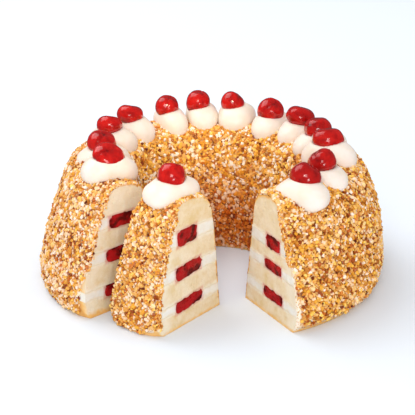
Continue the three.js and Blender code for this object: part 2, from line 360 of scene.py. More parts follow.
@dataclass(frozen=True)
class Arc:
    """A stretch round an axis, from one cut to the other."""

    name: str
    start: float
    end: float
    axis: Pair
    steps: int
    swing: float
    lean: float
    feet: tuple[Pair, ...]
    swells: tuple[Triple, ...] = ((0.0, 0.0, 0.0),)
    neck: float = 0.0
    pivot: float = 50.0
    swell_rise: float = 62.0
    swell_radii: Pair = (70.0, 102.0)
    neck_radii: Pair = (80.0, 60.0)

    @property
    def sweep(self) -> float:
        """Degrees from cut to cut."""
        return self.end - self.start

    @property
    def run(self) -> float:
        """Length of the foot from cut to cut."""
        return math.radians(self.sweep) * SECTION.foot_radius

    def share(self, bearing: Array) -> Array:
        """How far bearings lie on the way from the first cut to the last."""
        return (bearing - self.start) / self.sweep

    def share_of(self, points: Array) -> Array:
        """How far rows of x, y, z lie on the way from the first cut to the last."""
        turn = np.degrees(np.arctan2(points[:, 0] - self.axis[0], self.axis[1] - points[:, 1]))
        return ((turn - (self.start + self.end) / 2 + 180) % 360 - 180) / self.sweep + 0.5

    def radius_of(self, points: Array) -> Array:
        """Distances of rows of x, y, z from the axis."""
        return np.hypot(points[:, 0] - self.axis[0], points[:, 1] - self.axis[1])

    def foot_depth(self, bearing: Array) -> Array:
        """How far the foot lies inside the wall at the floor, by the `feet` listed as share and depth."""
        return np.interp(self.share(bearing), *zip(*self.feet))

    def swell(self, radius: Array, bearing: Array, height: Array) -> Array:
        """How far the outer wall stands out, by the `swells`: share, at the floor and at the shoulder.

        From floor to shoulder it goes over in a smooth step, and inwards it dies away by the crown. The inner
        wall stands in by `neck` at the shoulder.

        Args:
            radius: distances from the axis.
            bearing: degrees.
            height: heights.

        Returns:
            The distance that each place moves outwards.
        """
        shares, floor, shoulder = zip(*self.swells)
        share = self.share(bearing)
        rise = smooth_step(0.0, self.swell_rise, height)
        amount = between(np.interp(share, shares, floor), np.interp(share, shares, shoulder), rise)
        neck = self.neck * rise * smooth_step(*self.neck_radii, radius)
        return amount * smooth_step(*self.swell_radii, radius) - neck

    def bearing(self, share: Array | float, radius: Array, height: Array) -> Array:
        """Bearing part of the way from the first cut to the last.

        The last cut swings out from a pivot near the hole: at the bulge it stands beyond its own bearing by
        `swing` at the floor and by `lean` at the crown, and by less, in step with the radius, further in.

        Args:
            share: how far on the way.
            radius: distances from the axis.
            height: heights.

        Returns:
            The bearing of each place.
        """
        reach = np.clip((radius - self.pivot) / (SECTION.bulge_radius - self.pivot), 0, None)
        out = self.swing + (self.lean - self.swing) * height / SECTION.crown_height
        last = self.end + np.degrees(out * reach / radius)
        return self.start + share * (last - self.start)

    def place(self, radius: Array, bearing: Array, height: Array) -> Array:
        """Points x = X + r sin b, y = Y - r cos b, z = h, where r is the radius with its swell.

        Args:
            radius: distances from the axis.
            bearing: degrees.
            height: heights.

        Returns:
            One row of x, y, z for each point.
        """
        turn = np.radians(bearing)
        radius = radius + self.swell(radius, bearing, height)
        x = self.axis[0] + radius * np.sin(turn)
        y = self.axis[1] - radius * np.cos(turn)
        return np.stack(np.broadcast_arrays(x, y, height), axis=-1)


SECTION = RingSection()
AXIS_Y = -6.0
RING = Arc(
    "ring", start=28.3, end=311.1, axis=(0.0, AXIS_Y), steps=64, swing=4.5, lean=-1.5,
    feet=((0.0, 1.0), (0.5, 0.0), (0.8, -1.2), (0.985, -2.0), (1.0, 1.0)),
    swells=((0.0, 0.0, 0.0), (0.11, 0.3, 4.5), (0.22, 0.7, 8.0), (0.31, 0.7, 8.5), (0.43, 0.0, 5.0),
            (0.54, 0.0, 3.0), (0.66, 0.5, 4.0), (0.75, 1.2, 6.5), (0.8, 2.0, 4.5), (0.85, 2.4, 1.4),
            (0.92, 1.6, 1.0), (1.0, 0.0, 0.0)),
)
SLICE = Arc(
    "slice", start=-60.5, end=-39.5, axis=(37.0, AXIS_Y - 17.5), steps=12, swing=4.0, lean=-3.0, neck=3.0,
    feet=((0.0, -3.0), (0.2, -7.5), (0.56, -6.0), (0.71, -4.5), (0.86, -2.2), (1.0, 3.0)),
)


@dataclass
class SweptBlock:
    """A section on a grid of two parameters, carried round an arc and closed by its two cut faces."""

    arc: Arc
    section: SectionMap
    across: Array
    up: Array
    relief: Relief
    keep: Array | None = None
    steps: int | None = None

    def cut_face(self, u: Array, v: Array, end: int) -> Array:
        """Points of a cut face: section(u, v, bearing), moved out of the cut by its relief.

        Args:
            u: first parameter.
            v: second parameter.
            end: 0 for the first cut, 1 for the last.

        Returns:
            Rows of x, y, z.
        """
        radius, height = self.section(u, v, np.full(len(u), self.arc.end if end else self.arc.start))
        out = np.degrees(self.relief(radius, height, end) / radius)
        bearing = self.arc.bearing(end, radius, height)
        return self.arc.place(radius, bearing + out if end else bearing - out, height)

    def build(self) -> tuple[Array, list[Array], dict[str, Array]]:
        """Works out the whole surface: the cut faces, and walls that join the edges of their kept cells.

        Returns:
            Points, faces, and for each point its u, v and whether it lies on a cut face.
        """
        u, v = (grid.ravel() for grid in np.meshgrid(self.across, self.up, indexing="ij"))
        size = len(u)
        cells = grid_quads(len(self.across), len(self.up))
        cells = cells.reshape(-1, 4) if self.keep is None else cells[self.keep]
        edges = np.stack([cells, np.roll(cells, -1, axis=1)], axis=-1).reshape(-1, 2)
        edges = edges[~np.isin(edges @ np.array([size, 1]), edges @ np.array([1, size]))]
        rim = np.unique(edges)
        shares = np.linspace(0, 1, (self.steps or self.arc.steps) + 1)[1:-1, None]
        bearing = self.arc.start + shares * self.arc.sweep
        wall_u, wall_v, bearing = np.broadcast_arrays(u[rim], v[rim], bearing)
        radius, height = self.section(wall_u, wall_v, bearing)
        walls = self.arc.place(radius, self.arc.bearing(shares, radius, height), height).reshape(-1, 3)
        points = np.concatenate([self.cut_face(u, v, 0), self.cut_face(u, v, 1), walls])
        between_cuts = 2 * size + np.arange(len(walls)).reshape(len(shares), -1)
        rings = np.concatenate([rim[None], between_cuts, rim[None] + size])
        a, b = np.searchsorted(rim, edges).T
        sides = np.stack([rings[:-1, b], rings[:-1, a], rings[1:, a], rings[1:, b]], axis=-1).reshape(-1, 4)
        used, faces = np.unique(np.concatenate([cells, cells[:, ::-1] + size, sides]), return_inverse=True)
        grids = {
            "u": np.concatenate([u, u, wall_u.ravel()])[used],
            "v": np.concatenate([v, v, wall_v.ravel()])[used],
            "cut": (used < 2 * size).astype(float),
        }
        return points[used], [faces.reshape(-1, 4)], grids


# Finishes

def linear(code: str) -> tuple[float, ...]:
    """Turns a display colour written as six hexadecimal digits into linear light, with full cover.

    Args:
        code: the digits.

    Returns:
        Red, green, blue and 1.
    """
    shares = [int(code[i:i + 2], 16) / 255 for i in (0, 2, 4)]
    return *(s / 12.92 if s <= 0.04045 else ((s + 0.055) / 1.055) ** 2.4 for s in shares), 1.0


class NodeBoard:
    """A new material and short ways to add and join its nodes."""

    def __init__(self, name: str) -> None:
        """Starts a material with one principled shader.

        Args:
            name: the material's name.
        """
        self.material = bpy.data.materials.new(name)
        self.material.use_nodes = True
        self.tree = self.material.node_tree
        self.tree.nodes.clear()
        self.shader = self.node("BsdfPrincipled")
        self.node("OutputMaterial", Surface=self.shader.outputs["BSDF"])
        self.place = self.node("TexCoord").outputs["Object"]

    def fill(self, node: bpy.types.Node, inputs: dict[str, Socket | float | tuple[float, ...]]) -> None:
        """Links a node's inputs to sockets, or sets them to constants.

        Args:
            node: the node.
            inputs: sockets and constants by the input's name, with _ for a space.
        """
        for title, value in inputs.items():
            target = node.inputs[title.replace("_", " ")]
            if isinstance(value, Socket):
                self.tree.links.new(value, target)
            else:
                target.default_value = value

    def node(self, kind: str, options: dict[str, str] | None = None,
             **inputs: Socket | float | tuple[float, ...]) -> bpy.types.Node:
        """Adds a node.

        Args:
            kind: its type, without the start that all types share.
            options: the node's own choices, which are made before its inputs are filled.
            inputs: sockets and constants by the input's name, with _ for a space.

        Returns:
            The node.
        """
        node = self.tree.nodes.new(f"ShaderNode{kind}")
        for title, option in (options or {}).items():
            setattr(node, title, option)
        self.fill(node, inputs)
        return node

    def attribute(self, title: str) -> Socket:
        """Reads one of the mesh's own numbers."""
        return self.node("Attribute", {"attribute_name": title}).outputs["Fac"]

    def noise(self, size: float, detail: float = 3.0, rough: float = 0.55, twist: float = 0.0) -> Socket:
        """Noise from 0 to 1 whose largest features are about `size` millimetres wide."""
        return self.node("TexNoise", Vector=self.place, Scale=1 / (size * MM), Detail=detail, Roughness=rough,
                         Distortion=twist).outputs["Fac"]

    def cells(self, size: float) -> tuple[Socket, Socket]:
        """Cells about `size` millimetres wide: a random tone for each, and the distance from its middle."""
        node = self.node("TexVoronoi", Vector=self.place, Scale=1 / (size * MM))
        return node.outputs["Color"], node.outputs["Distance"]

    def fit(self, source: Socket, low: float, high: float, new_low: float = 0.0,
            new_high: float = 1.0) -> Socket:
        """Maps a number's range from low to high to a new range, clamped."""
        return self.node("MapRange", Value=source, From_Min=low, From_Max=high, To_Min=new_low,
                         To_Max=new_high).outputs["Result"]

    def rough(self, size: float, low: float, high: float) -> Socket:
        """Roughness from low to high by a noise of `size` millimetres."""
        return self.fit(self.noise(size), 0.2, 0.8, low, high)

    def ramp(self, source: Socket, *stops: tuple[float, str]) -> Socket:
        """Maps a number to colours.

        Args:
            source: the number's socket.
            stops: places from 0 to 1 with their colours.

        Returns:
            The colour's socket.
        """
        node = self.node("ValToRGB", Fac=source)
        row = node.color_ramp.elements
        while len(row) < len(stops):
            row.new(1.0)
        for element, (place, code) in zip(row, stops):
            element.position = place
            element.color = linear(code)
        return node.outputs["Color"]

    def blend(self, share: Socket, base: Socket, over: str, mode: str = "MIX") -> Socket:
        """Lays a display colour over the colour of a socket, by a share and in a mode of mixing."""
        options = {"data_type": "RGBA", "blend_type": mode}
        return self.node("Mix", options, Factor=share, A=base, B=linear(over)).outputs["Result"]

    def product(self, first: Socket, second: Socket) -> Socket:
        """Multiplies two numbers.

        Args:
            first: one number's socket.
            second: the other's.

        Returns:
            The product's socket.
        """
        node = self.node("Math", {"operation": "MULTIPLY"})
        self.tree.links.new(first, node.inputs[0])
        self.tree.links.new(second, node.inputs[1])
        return node.outputs["Value"]

    def bump(self, height: Socket, depth: float, strength: float) -> Socket:
        """Normals of a fine relief, `depth` millimetres deep, from a socket that runs from 0 to 1."""
        return self.node("Bump", Height=height, Distance=depth * MM, Strength=strength).outputs["Normal"]

    def finish(self, **inputs: Socket | float | tuple[float, ...]) -> Material:
        """Fills the shader's own inputs and hands over the material."""
        self.fill(self.shader, inputs)
        return self.material


@dataclass(frozen=True)
class SpongeFinish:
    """Pale open crumb that turns golden at its baked edges."""

    light: str = "e7d5b7"
    deep: str = "dcc190"
    pore: str = "d4b27a"
    golden: str = "e9b76c"
    baked: str = "d8974c"
    stain: str = "c9604c"
    smear: str = "ece3d0"

    def material(self) -> Material:
        """Mottled crumb, darker in pits by painted shade and a little darker on the highest layer, pale where
        cream is smeared and where painted light lies on the highest layer, golden to brown where the crust
        rises.

        Returns:
            The material.
        """
        board = NodeBoard("sponge_crumb")
        base = board.ramp(board.noise(9.0, 4.0, 0.6), (0.34, self.deep), (0.62, self.light))
        base = board.blend(board.fit(board.noise(1.4, 2.0), 0.52, 0.8, 0.0, 0.2), base, self.pore)
        # Painted shade in the crumb's pits at the cuts, and a slightly darker tone over the whole highest
        # layer.
        base = board.blend(board.attribute("pit_shade_and_top_tone"), base, self.pore)
        # The smear carries cream smeared over the sponge and painted light, a pale tone, on the highest
        # layer.
        base = board.blend(board.attribute("smear"), base, self.smear)
        base = board.blend(board.product(board.attribute("bleed"), board.noise(2.2)), base, self.stain)
        crust = board.attribute("crust")
        base = board.blend(board.fit(crust, 0.05, 0.75), base, self.golden)
        base = board.blend(board.product(board.fit(crust, 0.6, 1.0), board.noise(3.0)), base, self.baked)
        return board.finish(
            Base_Color=base, Roughness=board.rough(2.0, 0.8, 1.0), Specular_IOR_Level=0.25,
            Subsurface_Weight=0.12, Subsurface_Radius=(0.0025, 0.0014, 0.0007),
            Normal=board.bump(board.noise(0.6, 3.0, 0.7), 0.25, 0.5))


@dataclass(frozen=True)
class CreamFinish:
    """Buttercream between the layers, with a little red where it touches the filling."""

    light: str = "ebe8e0"
    deep: str = "e4dccd"
    bleed: str = "d97a72"
    crumb: str = "e8d6b6"

    def material(self) -> Material:
        """Two near whites in soft patches, crumb-coloured where sponge is smeared, pink where juice bleeds.

        Returns:
            The material.
        """
        board = NodeBoard("layer_cream")
        base = board.ramp(board.noise(5.0), (0.3, self.deep), (0.65, self.light))
        base = board.blend(board.attribute("smear"), base, self.crumb)
        base = board.blend(board.product(board.attribute("bleed"), board.noise(2.0, 2.0)), base, self.bleed)
        return board.finish(
            Base_Color=base, Roughness=board.rough(3.0, 0.45, 0.65),
            Subsurface_Weight=0.25, Subsurface_Radius=(0.003, 0.0022, 0.0014),
            Normal=board.bump(board.noise(1.6), 0.25, 0.6))


@dataclass(frozen=True)
class DollopFinish:
    """Smooth piped cream."""

    light: str = "f2e4d9"
    deep: str = "e9ddca"

    def material(self) -> Material:
        """Warm white, deeper in soft patches, and deeper low down near the coat as painted shade.

        Returns:
            The material.
        """
        board = NodeBoard("piped_cream")
        base = board.ramp(board.noise(11.0, 2.0), (0.25, self.deep), (0.6, self.light))
        # Painted shade: the deeper tone low down, where the dollop meets the coat.
        base = board.blend(board.attribute("low"), base, self.deep)
        return board.finish(
            Base_Color=base, Roughness=board.rough(4.0, 0.38, 0.5),
            Subsurface_Weight=0.3, Subsurface_Radius=(0.004, 0.0034, 0.0026),
            Normal=board.bump(board.noise(2.4, 2.0), 0.12, 0.5))


@dataclass(frozen=True)
class FillingFinish:
    """Set cherry filling: moist crimson fruit, darker by painted shade in its grooves and along its rim."""

    bright: str = "c61c22"
    deep: str = "84100f"
    groove_shade: str = "480808"

    def material(self) -> Material:
        """Crimson by fruit, darker by painted shade in the grooves and along the rim, under a thin wet coat.

        Returns:
            The material.
        """
        board = NodeBoard("cherry_filling")
        base = board.ramp(board.attribute("fruit"), (0.0, self.deep), (1.0, self.bright))
        base = board.blend(board.fit(board.noise(2.0, 4.0), 0.5, 0.8, 0.0, 0.6), base, self.deep)
        # Painted shade: darker in the grooves of the streaks and along the strip's rim.
        base = board.blend(board.attribute("groove_shade"), base, self.groove_shade)
        return board.finish(
            Base_Color=base, Roughness=board.rough(1.5, 0.2, 0.4), Specular_IOR_Level=0.12,
            Coat_Weight=0.08, Coat_Roughness=0.12,
            Subsurface_Weight=0.12, Subsurface_Radius=(0.003, 0.0006, 0.0004),
            Normal=board.bump(board.noise(0.9), 0.15, 0.4))


@dataclass(frozen=True)
class BrittleFinish:
    """Caramel-coated nut chips of one kind."""

    name: str
    tones: tuple[str, str, str]
    rough: Pair = (0.3, 0.45)
    coat: float = 0.4
    # Painted light and shade: a warm tint laid over the hole's lining, and a brown multiply towards its foot.
    hole_light: float = 0.1
    hole_foot_shading: float = 0.85
    hole_light_tint: str = "ffc860"
    shade: str = "ce8416"

    def material(self) -> Material:
        """Three tones by chip, cloudy within each chip, warmer by painted light in the hole and browner by
        painted shade at its foot.

        Returns:
            The material.
        """
        board = NodeBoard(self.name)
        low, middle, high = self.tones
        base = board.ramp(board.attribute("shade"), (0.0, low), (0.5, middle), (1.0, high))
        base = board.blend(board.fit(board.noise(1.2), 0.45, 0.75, 0.0, 0.5), base, low)
        # Painted warm light: the chips are tinted lighter and warmer over the hole's lining.
        base = board.blend(board.fit(board.attribute("hole"), 0.0, 1.0, 0.0, self.hole_light), base, self.hole_light_tint)
        # Painted shade: a brown multiply that darkens the chips towards the hole's foot.
        hole_foot_shade = board.fit(board.attribute("hole_foot_shade"), 0.0, 1.0, 0.0, self.hole_foot_shading)
        base = board.blend(hole_foot_shade, base, self.shade, "MULTIPLY")
        return board.finish(
            Base_Color=base, Roughness=board.fit(board.noise(1.0), 0.25, 0.75, *self.rough),
            Specular_IOR_Level=0.25, Coat_Weight=self.coat, Coat_Roughness=0.15,
            Subsurface_Weight=0.1, Subsurface_Radius=(0.0012, 0.0006, 0.0002),
            Normal=board.bump(board.noise(0.5, 2.0), 0.12, 0.6))


@dataclass(frozen=True)
class UndercoatFinish:
    """Cream under the brittle: soaked with brown syrup between the chips, clean where the coat is bare."""

    cream: str = "fbeedb"
    soft: str = "f4dfc0"
    dust: str = "cf9342"
    syrup: str = "d8922f"
    light_crumb: str = "f6c884"
    dark_crumb: str = "a05a16"
    shade: str = "b8701f"
    crumb: float = 2.2

    def material(self) -> Material:
        """Warm white with golden specks, crumbs of light and dark syrup where the syrup attribute rises, and
        painted shade towards the hole's foot.

        Returns:
            The material.
        """
        board = NodeBoard("coat_cream")
        base = board.ramp(board.noise(6.0), (0.3, self.soft), (0.7, self.cream))
        base = board.blend(board.fit(board.noise(1.3, 2.0), 0.54, 0.62), base, self.dust)
        syrup = board.attribute("syrup")
        tone, middle = board.cells(self.crumb)
        base = board.blend(syrup, base, self.syrup)
        base = board.blend(board.product(syrup, board.fit(tone, 0.52, 0.58)), base, self.light_crumb)
        base = board.blend(board.product(syrup, board.fit(tone, 0.42, 0.36)), base, self.dark_crumb)
        # Painted shade: a brown multiply that darkens the coat's cream towards the hole's foot.
        hole_foot_shade = board.fit(board.attribute("hole_foot_shade"), 0.0, 1.0, 0.0, 0.95)
        base = board.blend(hole_foot_shade, base, self.shade, "MULTIPLY")
        return board.finish(
            Base_Color=base, Roughness=board.rough(2.0, 0.5, 0.7),
            Subsurface_Weight=0.2, Subsurface_Radius=(0.003, 0.002, 0.0012),
            Normal=board.bump(board.fit(middle, 0.0, 0.7, 1.0, 0.0), 0.7, 0.8))


@dataclass(frozen=True)
class CherryFinish:
    """Glossy preserved cherry with darker and lighter patches under a wet skin."""

    bright: str = "d92018"
    middle: str = "bf1512"
    dark: str = "70070a"

    def material(self) -> Material:
        """Red by soft patches, darker by ripeness, with painted shade in the creases, hollows and foot, under
        a clear coat.

        Returns:
            The material.
        """
        board = NodeBoard("cherry_skin")
        patches = board.noise(7.0, 4.0, 0.6, 0.4)
        base = board.ramp(patches, (0.25, self.dark), (0.42, self.middle), (0.7, self.bright))
        # Painted shade: darker in the dimple, the crease, the fine hollows and at the foot.
        base = board.blend(board.attribute("crease_shade"), base, self.dark)
        base = board.blend(board.attribute("ripe"), base, self.dark)
        return board.finish(
            Base_Color=base, Roughness=board.rough(2.5, 0.14, 0.3), Specular_IOR_Level=0.15,
            Coat_Weight=0.85, Coat_Roughness=0.03, Coat_IOR=1.42,
            Subsurface_Weight=0.15, Subsurface_Radius=(0.004, 0.0006, 0.0004),
            Normal=board.bump(board.noise(1.6), 0.18, 0.5))


@dataclass(frozen=True)
class FloorFinish:
    """Plain pale studio floor."""

    tone: str = "e6edf6"
    lighter: str = "e8eff7"

    def material(self) -> Material:
        """Near white with the faintest unevenness.

        Returns:
            The material.
        """
        board = NodeBoard("studio_floor")
        base = board.ramp(board.noise(400.0), (0.3, self.tone), (0.7, self.lighter))
        return board.finish(Base_Color=base, Roughness=0.9, Specular_IOR_Level=0.1)


# Layers

@dataclass(frozen=True)
class Strip:
    """Section of a strip of filling: two radii, two heights, and how much its outer end hangs lower."""

    inner: float
    outer: float
    low: float
    high: float
    hang: float = 0.0

    def blend(self, other: "Strip", share: Array) -> tuple[Array, ...]:
        """Sizes on the way from this section to another."""
        return tuple(mine + share * (theirs - mine) for mine, theirs in zip(astuple(self), astuple(other)))


@dataclass(frozen=True)
class Cut:
    """What a cut shows: the layers' boundaries from the floor up, the filling, and how the sponge is toned.

    The crown's inset is how far the highest sponge lies inside the coat's face. The crust is how well baked
    the outer edge is. The veil is cream drawn over the outer edge, and the crown's painted light is a pale
    tone laid over the highest sponge.
    """

    levels: tuple[float, ...]
    strips: tuple[Strip, Strip, Strip]
    crown_inset: float
    crust: float
    veil: float
    crown_painted_light: float


RIGHT_CUT = Cut(
    (0.0, 13.0, 20.0, 34.5, 41.5, 51.0, 60.0),
    (Strip(75.7, 102.0, 13.3, 20.4), Strip(77.2, 99.6, 34.6, 42.0), Strip(78.7, 97.3, 51.3, 60.6)),
    crown_inset=2.8, crust=0.3, veil=0.7, crown_painted_light=0.2,
)
LEFT_CUT = Cut(
    (0.0, 13.0, 20.0, 37.6, 45.7, 61.2, 69.8),
    (Strip(74.0, 102.0, 11.4, 18.7), Strip(74.0, 99.2, 36.8, 45.4), Strip(72.0, 95.2, 60.6, 69.6)),
    crown_inset=0.7, crust=1.0, veil=0.55, crown_painted_light=0.5,
)
SLICE_CUT = Cut(
    (0.0, 12.3, 18.8, 35.5, 43.5, 59.8, 69.0),
    (Strip(70.5, 100.0, 11.6, 19.6, 1.0), Strip(71.5, 98.5, 34.9, 44.3, 0.9),
     Strip(75.0, 95.0, 58.8, 69.8, 0.5)),
    crown_inset=0.7, crust=0.3, veil=0.7, crown_painted_light=0.0,
)


@dataclass
class LayerStack:
    """Sponge, cream and filling of one arc, each carried through from the first of two cuts to the last."""

    arc: Arc
    cuts: tuple[Cut, Cut]
    seed: int
    layers: int = 4
    width: float = 65.0
    layer_height: float = 16.0
    crown_layer_height: float = 26.0
    foot_layer_height: float = 12.0
    wave: float = 0.55
    wave_size: float = 15.0
    inset: float = 1.9
    inner_inset: float = 1.5
    crumb_step: float = 0.5
    film: float = 1.0
    bulge: float = 0.15
    trough_overlap: float = 1.5
    fruit_size: float = 6.0
    streak_size: float = 6.0
    juice_reach: float = 2.4
    sponge_smear: float = 3.4
    cream_smear: float = 2.1
    pale_edge: float = 1.3

    def fade(self, title: str, points: Array) -> Array:
        """One of the cuts' own values, on the way from the first cut to the last, for rows of x, y, z."""
        return np.interp(self.arc.share_of(points), (0.0, 1.0), [getattr(cut, title) for cut in self.cuts])

    def level(self, index: int, radius: Array, bearing: Array) -> Array:
        """Height of a boundary: straight from one cut's level to the other's, with a slow wave.

        Args:
            index: 0 for the floor, then the floors and tops of the cream layers from below.
            radius: distances from the axis.
            bearing: degrees.

        Returns:
            The height at each place.
        """
        if index == 0:
            return np.zeros(np.shape(radius))
        first, last = (cut.levels[index] for cut in self.cuts)
        height = first + self.arc.share(bearing) * (last - first)
        places = self.arc.place(radius, bearing, height)
        return height + self.wave * rough_noise(places, self.wave_size, 2, self.seed + index)

    def edge(self, index: int | None, u: Array, bearing: Array) -> tuple[Array, Array]:
        """A layer's boundary, found in two rounds because its height and the walls' radii hang together.

        Args:
            index: the boundary's number, or None for the dome.
            u: from 0 at the inner wall to 1 at the outer one.
            bearing: degrees.

        Returns:
            Radius and height of each place.
        """
        first, last = self.cuts
        if index is None:
            wall = np.where(u < 0.5, self.inner_inset, self.inset)
            insets = (first.crown_inset, last.crown_inset, last.crown_inset)
            crown = np.interp(self.arc.share(bearing), (0.0, 0.2, 1.0), insets)
            return SECTION.dome(u, wall + (crown - wall) * smooth_step(0.5, 0.15, np.abs(u - 0.5)))
        height = np.full(np.shape(u), last.levels[index])
        depth = self.arc.foot_depth(bearing)
        for _ in range(2):
            inner = SECTION.inner_wall(height, self.inner_inset)
            radius = inner + u * (SECTION.outer_wall(height, self.inset, depth) - inner)
            height = self.level(index, radius, bearing)
        return radius, height

    def layer_section(self, floor: int, top: int | None, u: Array, v: Array,
                      bearing: Array) -> tuple[Array, Array]:
        """Section of a layer as a patch stretched between its floor, its top and the two walls.

        With floor F(u), top T(u) and walls I(v) and O(v), a point is (1-v)F + vT + (1-u)I + uO less the
        corners' own blend.

        Args:
            floor: number of the boundary below.
            top: number of the boundary above, or None for the dome.
            u: from 0 at the inner wall to 1 at the outer one.
            v: from 0 at the floor to 1 at the top.
            bearing: degrees.

        Returns:
            Radius and height of each place.
        """
        none, whole = np.zeros(np.shape(u)), np.ones(np.shape(u))
        low, low_in, low_out = (self.edge(floor, across, bearing) for across in (u, none, whole))
        high, high_in, high_out = (self.edge(top, across, bearing) for across in (u, none, whole))
        rise_in, rise_out = between(low_in[1], high_in[1], v), between(low_out[1], high_out[1], v)
        wall_in = SECTION.inner_wall(rise_in, self.inner_inset)
        wall_out = SECTION.outer_wall(rise_out, self.inset, self.arc.foot_depth(bearing))
        corners = between(between(low_in[0], high_in[0], v), between(low_out[0], high_out[0], v), u)
        radius = between(low[0], high[0], v) + between(wall_in, wall_out, u) - corners
        return radius, between(low[1], high[1], v)

    def stain(self, points: Array) -> Array:
        """How much of the filling's juice has soaked in: by the distance outside the nearest strip's section.

        Args:
            points: rows of x, y, z.

        Returns:
            A share from 0 to 1 for each point.
        """
        radius, share = self.arc.radius_of(points), np.clip(self.arc.share_of(points), 0, 1)
        soaked = np.zeros(len(points))
        for first, last in zip(*(cut.strips for cut in self.cuts)):
            inner, outer, low, high, hang = first.blend(last, share)
            drop = hang * (2 * (radius - inner) / (outer - inner) - 1)
            beside = np.maximum(inner - radius, radius - outer)
            beyond = np.maximum(low - drop - points[:, 2], points[:, 2] - high + drop)
            soaked = np.maximum(soaked, smooth_step(self.juice_reach, 0.0, np.maximum(beside, beyond)))
        return soaked

    def smear(self, points: Array, depth: Array, reach: float) -> Array:
        """How far the neighbouring layer is smeared over a cut, by a distance from it that wavers.

        Args:
            points: rows of x, y, z.
            depth: distances from the neighbouring layer.
            reach: how far it is smeared.

        Returns:
            A share from 0 to 1 for each point.
        """
        return smooth_step(reach, -0.4, depth + 1.5 * rough_noise(points, 3.0, 2, self.seed + 8))

    def pits(self, radius: Array, height: Array, end: int) -> Array:
        """Depth of the crumb's pits, from 0 to 1: cells whose centre is open, a third of the small ones.

        Args:
            radius: distances from the axis.
            height: heights.
            end: which cut.

        Returns:
            The share of the full depth.
        """
        seed = self.seed + 31 * end
        near, owner = cell_distances(radius, height, 1.7, seed)
        small = smooth_step(0.7, 0.2, near) * (owner > 0.7)
        near, owner = cell_distances(radius, height, 4.3, seed + 5)
        large = smooth_step(1.0, 0.4, near) * (owner > 0.86)
        return np.clip(0.5 * small + 0.8 * large, 0, 1)

    def crumb_relief(self, radius: Array, height: Array, end: int) -> Array:
        """Open crumb of a cut, as a height out of it: round pits of two sizes and a fine unevenness."""
        uneven = rough_noise(on_cut(radius, height, 7.0 * end), 3.0, 3, self.seed + 31 * end)
        return 0.25 * uneven - 0.35 * self.pits(radius, height, end)

    def sponge_tones(self, number: int, points: Array, grids: dict[str, Array]) -> dict[str, Array]:
        """Attributes of a sponge layer.

        The crust fades by the distance from the walls, the foot and the crown. Cream is smeared in from the
        next layers, drawn over the outer edge, and soaked into the layers between two creams. Painted light,
        a pale tone, is laid over the highest layer.

        Args:
            number: 1 for the lowest layer.
            points: rows of x, y, z.
            grids: each point's u and v, and whether it lies on a cut.

        Returns:
            Pit shade and a darker highest layer, crust, juice, and cream with painted light, for each point.
        """
        u, v, cut = grids["u"], grids["v"], grids["cut"]
        lowest, highest = number == 1, number == self.layers
        middle = not (lowest or highest)
        tall = self.crown_layer_height if highest else self.layer_height
        baked = self.fade("crust", points)
        outer = (1 - u) * self.width
        slope = 0.6 - 0.3 * (number > 2) * (baked > 0.9)
        near = [u * self.width, outer * slope + self.pale_edge * cut * (number < 3)]
        if lowest:
            near.append(v * self.foot_layer_height * 0.3 / np.sqrt(baked))
        if highest:
            near.append((1 - v) * tall * 0.7)
        depth = np.min(near, axis=0) + 0.8 * rough_noise(points, 4.0, 2, self.seed + 3)
        foot = smooth_step(0.6, 0.2, v) * lowest
        sides = between(smooth_step(0.9, 1.0, u), 0.4, foot)
        boundary = np.minimum(v, 1 - v) if middle else 1 - v if lowest else v
        veil = smooth_step(16.0, 6.0, outer + 3.0 * rough_noise(points, 5.0, 2, self.seed + 12))
        moist = smooth_step(-0.6, 0.4, rough_noise(points, 9.0, 2, self.seed + 14))
        cream = [
            0.85 * self.smear(points, tall * boundary, self.sponge_smear),
            0.75 * veil * self.fade("veil", points),
            0.22 * moist * middle,
            # Painted light: a pale tone laid over the whole highest layer, by cut.
            self.fade("crown_painted_light", points) * highest,
        ]
        return {
            # Painted shade in the pits at the cuts, and a slightly darker tone over the whole highest layer.
            "pit_shade_and_top_tone": 0.3 * cut * self.pits(self.arc.radius_of(points), points[:, 2], 0) + 0.12 * highest,
            "crust": smooth_step(1.9, -0.1, depth) * (1 - (1 - baked) * sides),
            "bleed": self.stain(points) * cut,
            "smear": np.max(cream, axis=0),
        }

    def build_sponge(self, number: int, material: Material) -> None:
        """Makes one sponge layer, with its crumb at both cuts.

        Args:
            number: 1 for the lowest layer.
            material: the crumb's material.
        """
        floor, highest = 2 * number - 2, number == self.layers
        section = partial(self.layer_section, floor, None if highest else floor + 1)
        tall = self.crown_layer_height if highest else self.layer_height
        across = np.linspace(0, 1, int(self.width / self.crumb_step) + 1)
        up = np.linspace(0, 1, int(tall / self.crumb_step) + 1)
        steps = self.arc.steps * (2 if number == 1 else 1)
        swept = SweptBlock(self.arc, section, across, up, self.crumb_relief, steps=steps)
        points, faces, grids = swept.build()
        name = f"{self.arc.name}_sponge_{number}"
        piece = new_piece(f"{name}_crumb", points, faces, self.sponge_tones(number, points, grids))
        dress(piece, material, "sponge", name)

    def cream_relief(self, number: int, radius: Array, height: Array, end: int) -> Array:
        """Cream at a cut: a little proud and uneven, but sunk where the filling stands before it.

        Args:
            number: 1 for the lowest cream.
            radius: distances from the axis.
            height: heights.
            end: which cut.

        Returns:
            How far each point stands out of the cut.
        """
        strip = self.cuts[end].strips[number - 1]
        uneven = rough_noise(on_cut(radius, height, 9.0 * end), 4.0, 3, self.seed + 17 * end + number)
        proud = self.bulge + 0.3 * uneven
        depth = np.minimum(radius - strip.inner, strip.outer - radius)
        return proud - (proud + 0.35) * smooth_step(-0.1, 0.9, depth)

